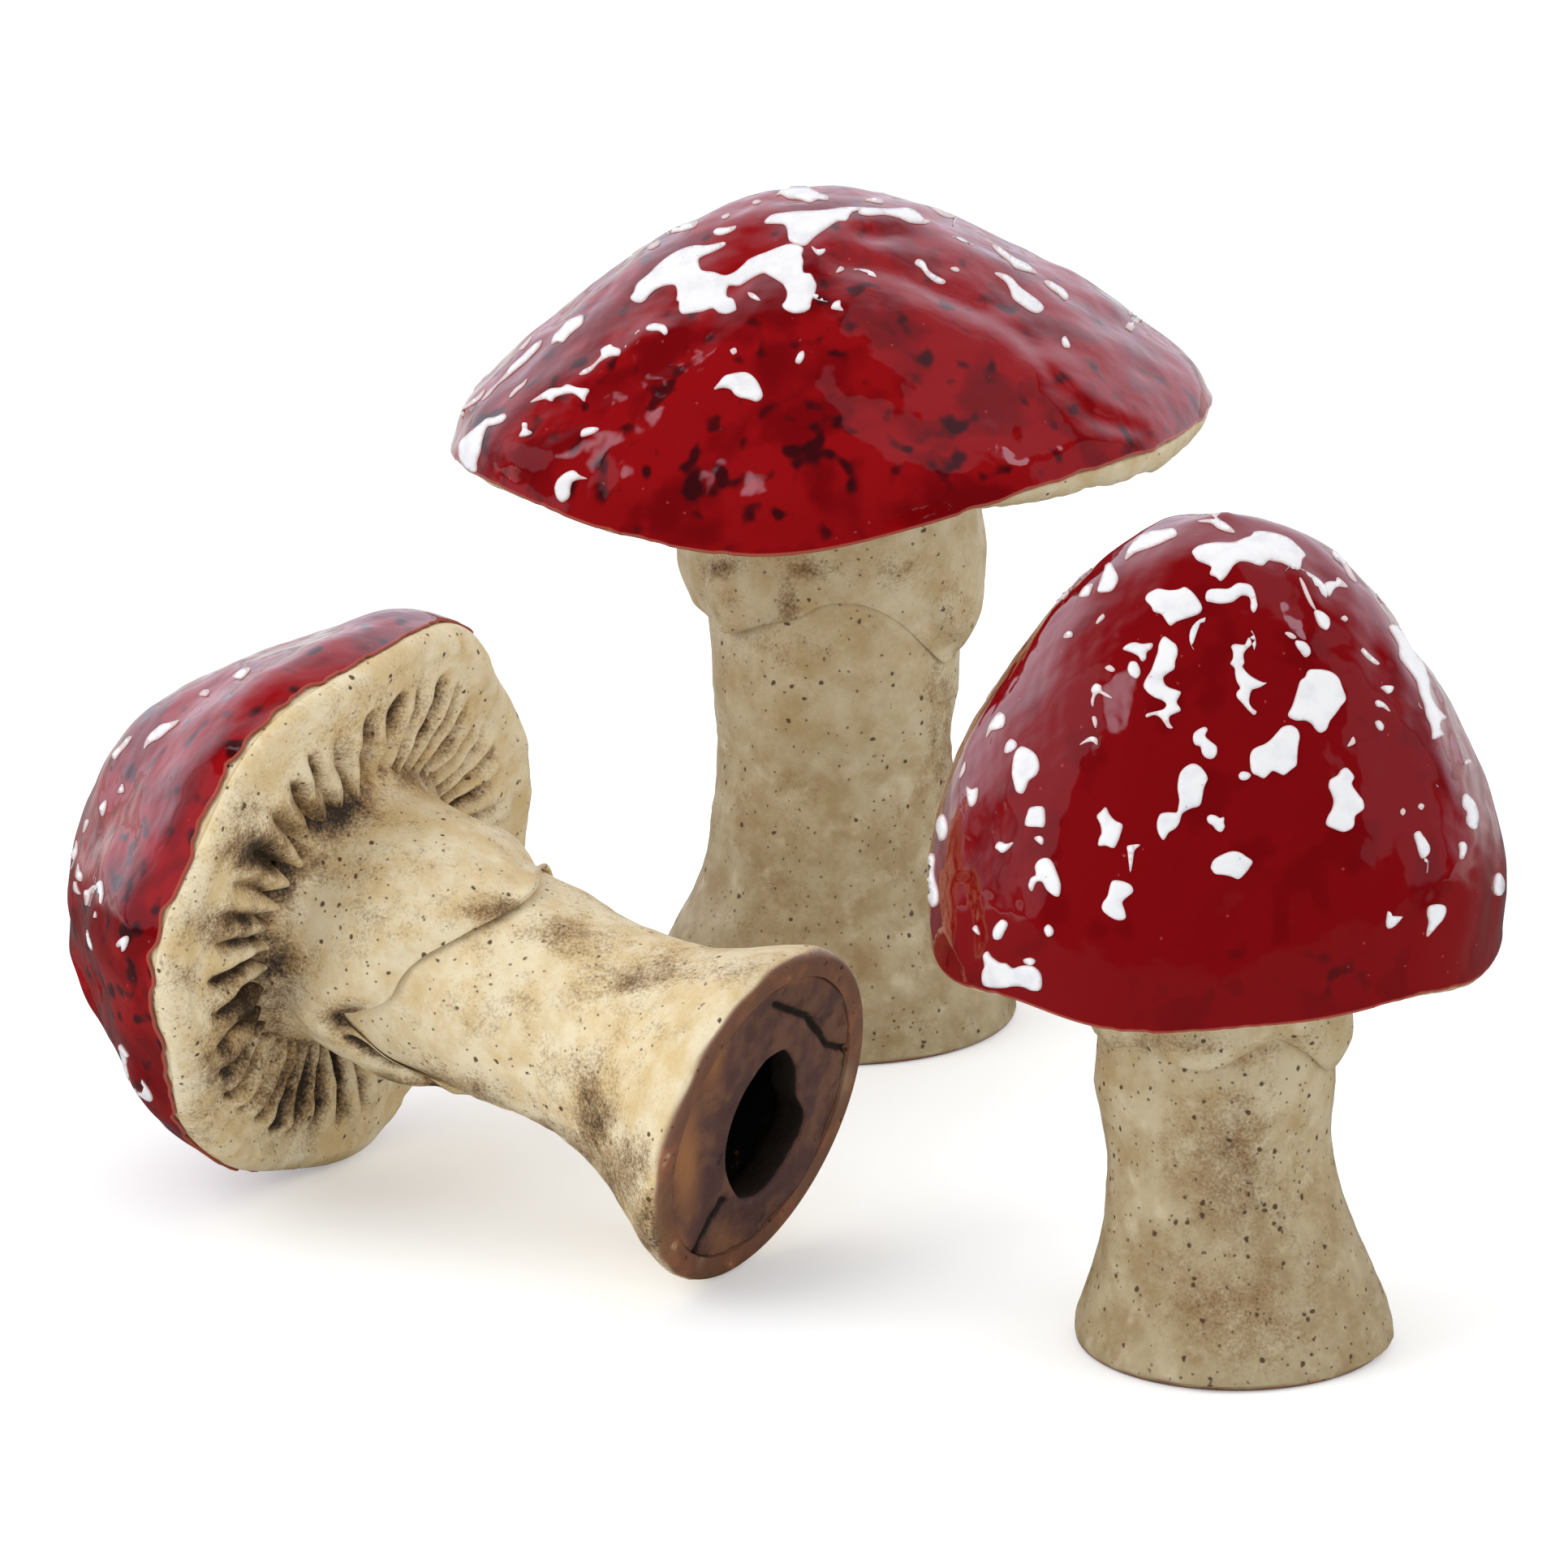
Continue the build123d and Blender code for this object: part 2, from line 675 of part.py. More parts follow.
def stem_plane(m, z):
    """Level plane at a height of the stem, which leans over between its foot and neck."""
    rise = min(max(z / m.neck_start, 0), 1)
    lean = rise**2 * (3 - 2 * rise)
    return Plane((m.cap_shift[0] * lean, m.cap_shift[1] * lean, z))


def make_stem(m):
    """The hollow stem with its flared foot, the disc's seat, the neck and the spigot."""
    seat_depth = RING_THICKNESS + SLIP_GAP
    spigot_length = PLATE_THICKNESS + SPIGOT_STAND
    with BuildPart() as stem:
        for z, radius in stem_radius_sections(m):
            with BuildSketch(stem_plane(m, z)):
                Circle(radius)
        loft()
        chamfer(stem.edges().group_by(Axis.Z)[0], FOOT_BEVEL)
        with BuildSketch(stem_plane(m, m.neck_start)):
            Circle(m.neck_radius)
        extrude(amount=m.neck_length)
        with BuildSketch(stem_plane(m, m.neck_height)):
            Circle(m.spigot_radius)
        extrude(amount=spigot_length)
        with BuildSketch():
            Circle(m.ring_radius + SLIP_GAP)
        extrude(amount=seat_depth, mode=Mode.SUBTRACT)
        with BuildSketch(stem_plane(m, seat_depth)):
            Circle(m.stake_radius + BORE_LEDGE)
        for z in (m.flare_height, m.neck_start):
            with BuildSketch(stem_plane(m, z)):
                Circle(m.waist_radius - STEM_WALL)
        loft(ruled=True, mode=Mode.SUBTRACT)
        with BuildSketch(stem_plane(m, m.neck_start)):
            Circle(m.spigot_radius - SPIGOT_WALL)
        extrude(amount=m.neck_length + spigot_length, mode=Mode.SUBTRACT)
    return stem.part


def make_foot_ring(m):
    """The brown disc in the foot, with the round stake hole."""
    with BuildPart() as foot_ring:
        with BuildSketch():
            Circle(m.ring_radius)
            Circle(m.stake_radius, mode=Mode.SUBTRACT)
        extrude(amount=RING_THICKNESS)
    return foot_ring.part


def skirt_ring(m, thickness_share, drop_share):
    """A wire round the neck, dropped from the skirt's top by a share of its droop."""

    def point(turn):
        radius = m.neck_radius + SKIRT_GAP + m.skirt_thickness * thickness_share
        droop = m.skirt_height * (1 + wave(m.skirt_wave_shares, turn) * drop_share)
        z = m.neck_height - m.skirt_top_gap - droop * drop_share
        return m.cap_shift[0] + radius * cos(turn), m.cap_shift[1] + radius * sin(turn), z

    return ring_wire(point)


def make_skirt(m):
    """The strip of clay pressed round the neck, with its drooping edge."""
    inner_top = skirt_ring(m, 0, 0)
    outer_top = skirt_ring(m, SKIRT_TOP_SHARE, 0)
    bulge = skirt_ring(m, 1, SKIRT_BULGE_DROP_SHARE)
    outer_low = skirt_ring(m, SKIRT_EDGE_SHARE, 1)
    inner_low = skirt_ring(m, 0, SKIRT_INNER_DROP_SHARE)
    with BuildPart() as skirt:
        add(
            sewn_solid(
                Shell.make_loft([inner_top, outer_top], ruled=True),
                Shell.make_loft([outer_top, bulge, outer_low]),
                Shell.make_loft([outer_low, inner_low], ruled=True),
                Shell.make_loft([inner_low, inner_top], ruled=True),
            )
        )
    return skirt.part


# Setting down and writing


def make_mushroom(m):
    """All pieces of one mushroom, upright over its foot, by their names."""
    red_glaze = make_red_glaze(m)
    return {
        "cap_shell": make_cap_shell(m),
        "gill_plate": make_gill_plate(m),
        "red_glaze": red_glaze,
        "white_patches": make_white_patches(m, red_glaze),
        "stem": make_stem(m),
        "skirt": make_skirt(m),
        "foot_ring": make_foot_ring(m),
    }


def lying_plane(tilt, lift):
    """The plane of the lying foot's face, with the cap tilted up by an angle in radians."""
    heading = radians(LYING_HEADING)
    away = (-sin(heading), cos(heading), 0)
    axis = (-cos(tilt) * cos(heading), -cos(tilt) * sin(heading), sin(tilt))
    return Plane((*LYING_PLACE, lift), x_dir=away, z_dir=axis)


def lowest(shape, plane):
    """Height of a shape's lowest point once it is set on a plane."""
    return shape.moved(plane.location).bounding_box().min.Z


def standing_location(place):
    """Where a mushroom stands on its foot."""
    return Location((*place, 0))


def resting_location(m, pieces):
    """Where a mushroom lies when its cap's rim and its foot both touch the ground."""
    tilt = atan2(m.cap_radius - m.foot_radius, m.rim_height)
    for _ in range(SETTLING_STEP_COUNT):
        plane = lying_plane(tilt, 0)
        cap = min(lowest(pieces["gill_plate"], plane), lowest(pieces["red_glaze"], plane))
        foot = lowest(pieces["stem"], plane)
        tilt -= (cap - foot) / m.rim_height
    return lying_plane(tilt, -min(cap, foot)).location


def main():
    """Build the three mushrooms, set them down and write every piece."""
    os.makedirs("parts", exist_ok=True)
    wide = make_mushroom(WIDE)
    bell = make_mushroom(BELL)
    lying = make_mushroom(LYING)
    spots = (
        (WIDE, wide, standing_location(WIDE_PLACE)),
        (BELL, bell, standing_location(BELL_PLACE)),
        (LYING, lying, resting_location(LYING, lying)),
    )
    placed = {
        f"{m.name}_{title}": piece.moved(spot)
        for m, pieces, spot in spots
        for title, piece in pieces.items()
    }
    box = Compound(list(placed.values())).bounding_box()
    home = Location((-box.center().X, -box.center().Y, -box.min.Z))
    for name, piece in placed.items():
        piece = piece.moved(home)
        piece.label = name
        export_step(piece, f"parts/{name}.step")
    print("home", home)
    print("size", box.size)


if __name__ == "__main__":
    main()
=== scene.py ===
"""A set of three hand-made stoneware mushrooms with red glazed caps, dressed around its frame.

Metres, +Z up. Each mushroom is shaped upright over its own foot and then set in the place and
tilt that the frame gives, and every skin is a grid of rings, from one end of a profile to the
other. Marks that the photograph shows are placed by its pixels and then laid on the surface.
"""

import math

import bpy
import numpy as np
from bpy.props import FloatProperty, FloatVectorProperty, IntProperty, PointerProperty
from mathutils import Matrix, Vector
from mathutils.bvhtree import BVHTree
from mathutils.geometry import delaunay_2d_cdt
from mathutils.kdtree import KDTree


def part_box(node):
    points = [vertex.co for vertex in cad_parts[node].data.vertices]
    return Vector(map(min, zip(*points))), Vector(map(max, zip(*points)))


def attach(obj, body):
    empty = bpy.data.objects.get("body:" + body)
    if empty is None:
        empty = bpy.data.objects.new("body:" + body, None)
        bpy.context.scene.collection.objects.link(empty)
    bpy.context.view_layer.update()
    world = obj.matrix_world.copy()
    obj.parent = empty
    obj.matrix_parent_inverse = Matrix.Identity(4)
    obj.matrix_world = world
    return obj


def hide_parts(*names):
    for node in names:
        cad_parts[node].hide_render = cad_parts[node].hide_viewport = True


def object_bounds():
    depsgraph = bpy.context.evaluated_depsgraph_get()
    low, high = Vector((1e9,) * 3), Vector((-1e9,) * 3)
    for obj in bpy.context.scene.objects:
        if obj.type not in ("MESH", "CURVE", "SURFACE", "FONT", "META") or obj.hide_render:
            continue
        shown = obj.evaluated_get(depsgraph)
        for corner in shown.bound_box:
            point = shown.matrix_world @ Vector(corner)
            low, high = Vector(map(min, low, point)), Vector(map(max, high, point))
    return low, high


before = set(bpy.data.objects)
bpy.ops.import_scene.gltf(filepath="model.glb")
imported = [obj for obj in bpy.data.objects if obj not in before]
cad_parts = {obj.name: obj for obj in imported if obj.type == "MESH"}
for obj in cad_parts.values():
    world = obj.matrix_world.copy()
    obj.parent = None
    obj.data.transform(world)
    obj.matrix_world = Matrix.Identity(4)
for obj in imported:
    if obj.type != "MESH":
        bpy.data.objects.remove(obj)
CAD_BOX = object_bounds()

bl_info = {
    "name": "Stoneware Mushrooms",
    "version": (1, 0, 0),
    "blender": (4, 5, 0),
    "location": "View3D > Sidebar > Mushrooms",
    "description": "Builds a set of three glazed stoneware mushrooms around their frame",
    "category": "Object",
}

MM = 0.001  # a millimetre in metres
PREFIXES = ("wide", "bell", "lying")

# The photograph's frame, in its own pixels
PHOTO_SIDE = 1932
PHOTO_MIDDLE = PHOTO_SIDE / 2

# Dome profiles: radius as a share of the cap's, drop as a share of the dome's depth
DOME_SHARES = {
    "wide": (
        (0, 0), (0.19, 0.03), (0.385, 0.165), (0.595, 0.355), (0.795, 0.60), (0.95, 0.83), (1, 1),
    ),
    "bell": (
        (0, 0), (0.30, 0.07), (0.55, 0.215), (0.75, 0.41), (0.90, 0.62), (0.985, 0.825), (0.98, 1),
    ),
    "lying": (
        (0, 0), (0.265, 0.08), (0.50, 0.22), (0.69, 0.415), (0.845, 0.63), (0.965, 0.825), (1, 1),
    ),
}

# Waves of the rims: lobes, share of the cap's radius or depth, degrees
RADIUS_WAVE_SHARES = {
    "wide": ((2, 0.02, 47), (3, 0.02, 229), (4, 0.022, 27), (7, 0.006, 80), (11, 0.004, 10)),
    "bell": ((2, 0.025, 88), (4, 0.02, 253), (6, 0.01, 40), (9, 0.006, 15)),
    "lying": ((2, 0.065, 68), (3, 0.01, 135), (4, 0.016, 68), (7, 0.012, 200), (10, 0.006, 30)),
}
HEIGHT_WAVE_SHARES = {
    "wide": ((1, 0.098, 19), (2, 0.035, 274), (3, 0.044, 264), (4, 0.038, 97)),
    "bell": ((2, 0.004, 257), (5, 0.01, 80), (8, 0.006, 20)),
    "lying": ((2, 0.016, 4), (3, 0.01, 313), (4, 0.012, 146), (8, 0.012, 60)),
}

# Flares of the feet: height as a share of the flare's, spread as a share from waist to foot
WIDE_FLARE_SHARES = (
    (0.16, 0.98), (0.28, 0.83), (0.37, 0.66), (0.46, 0.42), (0.56, 0.22), (0.74, 0.11), (1, 0),
)
BELL_FLARE_SHARES = (
    (0.07, 1), (0.17, 0.87), (0.27, 0.69), (0.37, 0.51), (0.48, 0.32), (0.68, 0.11), (1, 0),
)
FLARE_SHARES = {"wide": WIDE_FLARE_SHARES, "bell": BELL_FLARE_SHARES, "lying": BELL_FLARE_SHARES}

# Skirts: degrees round the neck, drop of the hem below the skirt gap and how far the lobe
# puffs out beyond the plain thickness, in millimetres
HEMS_MM = {
    "wide": (
        (0, 30, 1.0), (40, 27, 0.3), (90, 31, 0.5), (140, 26, 0), (175, 24, 2.0), (195, 27, 2.4),
        (215, 29, 1.6), (239, 26, 0.4), (250, 25, -2.2), (265, 22, -2.8), (280, 22, -2.4),
        (300, 26, -2.4), (315, 31, -2.4), (330, 35, -1.2), (348, 33, 0.8),
    ),
    "bell": (
        (0, 15, 0.5), (60, 13, 0), (120, 17, 1), (170, 14, 0), (203, 14, 0), (232, 12, 0),
        (248, 13, 1), (264, 14, 1.5), (282, 12, 0.5), (300, 10, -0.5), (316, 13, 1),
        (339, 18, 0.5),
    ),
    "lying": (
        (0, 22, -1.2), (45, 27, 0), (75, 30, 0), (100, 27, -0.3), (125, 17, -0.6), (144, 13, 0),
        (155, 10, 0), (163, 14, 0.4), (173, 18, 0.2), (195, 21, -0.2), (220, 27, -0.6),
        (245, 31, -1.4), (262, 31, -2.2), (290, 26, -2.2), (330, 23, -1.6),
    ),
}

# The ragged stake holes: degrees and radius in millimetres
HOLES_MM = {
    "wide": (
        (0, 12.3), (50, 12.9), (100, 12.2), (150, 12.7), (200, 12.1), (260, 12.8), (310, 12.4),
    ),
    "bell": (
        (0, 10.4), (60, 10.1), (110, 10.8), (170, 10.3), (230, 10.9), (290, 10.2), (330, 10.6),
    ),
    "lying": (
        (25, 15.6), (43, 15.3), (64, 15.8), (91, 14.3), (111, 11.8), (149, 9.5), (204, 8.8),
        (245, 9.7), (287, 11.0), (310, 10.2), (330, 9.8), (345, 9.6), (360, 10.4),
    ),
}

# Clay that shows between the glaze and the rim, and how much thicker the lip hangs: degrees
# round the cap and millimetres
BARE_RIMS_MM = {
    "wide": (
        (0, 0.6), (60, 0.3), (150, 0.4), (200, 0), (240, 0), (285, 0), (300, 0.6), (325, 1.3),
        (345, 1.2),
    ),
    "bell": ((0, 0.2), (90, 0.4), (200, 0), (270, 0), (330, 0.1)),
    "lying": (
        (0, 1.4), (40, 0.6), (80, 1.0), (110, 0.4), (135, 1.8), (150, 0.5), (170, 2.2), (185, 0.8),
        (205, 1.2), (225, 2.6), (240, 1.0), (262, 0.3), (300, 1.0), (330, 2.0),
    ),
}
LIP_DROPS_MM = {
    "wide": (
        (0, 1.6), (40, 0.3), (100, 0), (160, -0.2), (203, -0.7), (228, -1.5), (252, -2.0),
        (283, -1.9), (296, -0.6), (308, 1.2), (325, 2.4), (345, 2.4),
    ),
    "bell": ((0, -1.0), (90, -0.2), (150, -0.6), (205, -1.7), (270, -1.8), (320, -1.5)),
    "lying": ((0, 0.4), (120, 0.8), (240, 0.2)),
}
RIM_WIGGLES_MM = {"wide": 0.35, "bell": 0.2, "lying": 0.9}  # unevenness of the glaze's border

# White pads that the photograph shows, outlined in its pixels
WIDE_PADS_PX = (
    ((957, 241), (966, 231), (978, 226), (990, 227), (997, 232), (1010, 239), (1019, 242),
     (1020, 247), (1008, 246), (998, 250), (985, 246), (972, 245), (962, 240)),
    ((942, 275), (950, 266), (965, 263), (985, 261), (1010, 260), (1035, 257), (1055, 256),
     (1068, 257), (1050, 262), (1043, 272), (1032, 273), (1020, 281), (1008, 289), (1000, 296),
     (992, 303), (980, 301), (972, 296), (970, 284), (966, 277), (955, 276)),
    ((1063, 257), (1095, 258), (1118, 257), (1130, 262), (1138, 270), (1146, 273), (1140, 276),
     (1122, 275), (1108, 269), (1090, 265), (1070, 266), (1058, 263)),
    ((777, 368), (782, 360), (786, 350), (800, 338), (812, 326), (826, 315), (842, 307), (858, 303),
     (872, 303), (892, 299), (893, 303), (880, 310), (868, 315), (861, 320), (862, 328), (866, 334),
     (880, 336), (893, 340), (905, 336), (916, 327), (922, 321), (932, 316), (945, 311), (960, 305),
     (975, 301), (987, 304), (990, 308), (988, 315), (990, 322), (989, 330), (991, 337), (999, 338),
     (1003, 345), (1006, 352), (1004, 362), (1000, 371), (998, 380), (990, 385), (978, 386),
     (968, 382), (964, 377), (968, 371), (970, 362), (966, 352), (960, 347), (948, 340), (940, 337),
     (925, 344), (912, 352), (900, 352), (896, 356), (896, 366), (904, 369), (907, 378), (906, 383),
     (895, 387), (885, 385), (878, 380), (865, 384), (852, 386), (841, 387), (837, 382), (837, 373),
     (834, 370), (835, 362), (832, 352), (820, 352), (808, 357), (800, 364), (793, 372),
     (784, 373)),
    ((879, 287), (884, 282), (896, 281), (907, 279), (904, 284), (893, 289), (884, 290)),
    ((820, 287), (830, 281), (840, 277), (852, 275), (860, 273), (857, 279), (848, 283),
     (836, 286)),
    ((889, 268), (897, 264), (899, 266), (893, 270)),
    ((927, 250), (933, 247), (938, 249), (931, 252)),
    ((798, 306), (805, 300), (813, 297), (812, 302), (803, 307)),
    ((1066, 247), (1078, 245), (1088, 248), (1086, 251), (1074, 249)),
    ((796, 406), (800, 401), (810, 399), (820, 402), (823, 409), (819, 413), (812, 408),
     (802, 408)),
    ((1000, 304), (1007, 308), (1016, 307), (1016, 311), (1009, 315), (1003, 310)),
    ((1030, 336), (1035, 329), (1040, 332), (1036, 335)),
    ((1024, 380), (1028, 373), (1035, 371), (1036, 378), (1039, 383), (1031, 382)),
    ((922, 361), (930, 363), (937, 370), (932, 370), (924, 366)),
    ((680, 424), (684, 413), (692, 405), (700, 396), (710, 391), (719, 389), (718, 399), (710, 406),
     (702, 413), (694, 422), (687, 421)),
    ((594, 494), (601, 484), (612, 474), (622, 463), (632, 450), (643, 440), (652, 431), (660, 424),
     (668, 420), (665, 428), (656, 438), (648, 446), (636, 456), (624, 466), (613, 475),
     (603, 487)),
    ((563, 514), (572, 505), (585, 497), (594, 489), (598, 480), (590, 488), (578, 497),
     (567, 506)),
    ((640, 431), (647, 423), (656, 414), (652, 422), (645, 430)),
    ((628, 490), (634, 481), (644, 473), (650, 467), (646, 475), (638, 482), (632, 488)),
    ((714, 462), (720, 456), (728, 452), (735, 446), (741, 438), (741, 431), (752, 425), (757, 428),
     (765, 431), (763, 438), (754, 439), (746, 442), (738, 447), (730, 456), (722, 461)),
    ((654, 496), (663, 489), (672, 483), (680, 479), (692, 478), (700, 474), (712, 478), (726, 480),
     (722, 489), (720, 495), (714, 490), (706, 485), (695, 486), (684, 490), (680, 495), (672, 492),
     (662, 494)),
    ((566, 556), (567, 546), (574, 538), (583, 530), (592, 523), (601, 516), (612, 514), (622, 510),
     (624, 515), (618, 521), (609, 524), (601, 526), (597, 535), (594, 546), (592, 558), (588, 570),
     (588, 580), (584, 582), (576, 578), (568, 568)),
    ((640, 538), (644, 530), (644, 522), (650, 522), (650, 529), (656, 533), (650, 537)),
    ((716, 538), (718, 530), (728, 527), (738, 528), (734, 533), (724, 537)),
    ((684, 602), (687, 592), (694, 585), (701, 581), (708, 580), (715, 586), (724, 590), (714, 591),
     (706, 594), (703, 602), (702, 612), (694, 619), (687, 614)),
    ((880, 480), (886, 472), (893, 464), (902, 461), (913, 459), (922, 460), (930, 466), (936, 475),
     (940, 488), (933, 495), (922, 492), (912, 490), (905, 486), (900, 480), (890, 478)),
    ((980, 446), (984, 436), (990, 433), (991, 440), (986, 448)),
    ((900, 432), (906, 429), (908, 434), (903, 437)),
    ((1127, 325), (1131, 320), (1139, 324), (1144, 334), (1154, 341), (1164, 346), (1163, 350),
     (1154, 349), (1143, 341), (1135, 331)),
    ((1222, 303), (1229, 304), (1238, 310), (1248, 317), (1258, 322), (1268, 328), (1277, 337),
     (1270, 336), (1258, 333), (1250, 330), (1243, 322), (1232, 314)),
    ((1225, 337), (1236, 338), (1246, 343), (1255, 353), (1264, 360), (1272, 366), (1280, 372),
     (1286, 380), (1280, 386), (1270, 384), (1258, 376), (1248, 368), (1244, 357), (1238, 347)),
    ((1286, 347), (1294, 347), (1302, 352), (1310, 357), (1316, 366), (1312, 370), (1303, 362),
     (1294, 356)),
    ((1308, 418), (1312, 415), (1316, 421), (1318, 428), (1313, 429), (1309, 425)),
    ((1171, 331), (1178, 330), (1182, 334), (1177, 335)),
    ((1390, 385), (1398, 386), (1405, 392), (1407, 396), (1398, 393)),
    ((1148, 256), (1160, 260), (1172, 266), (1180, 266), (1176, 269), (1163, 267), (1153, 261)),
)
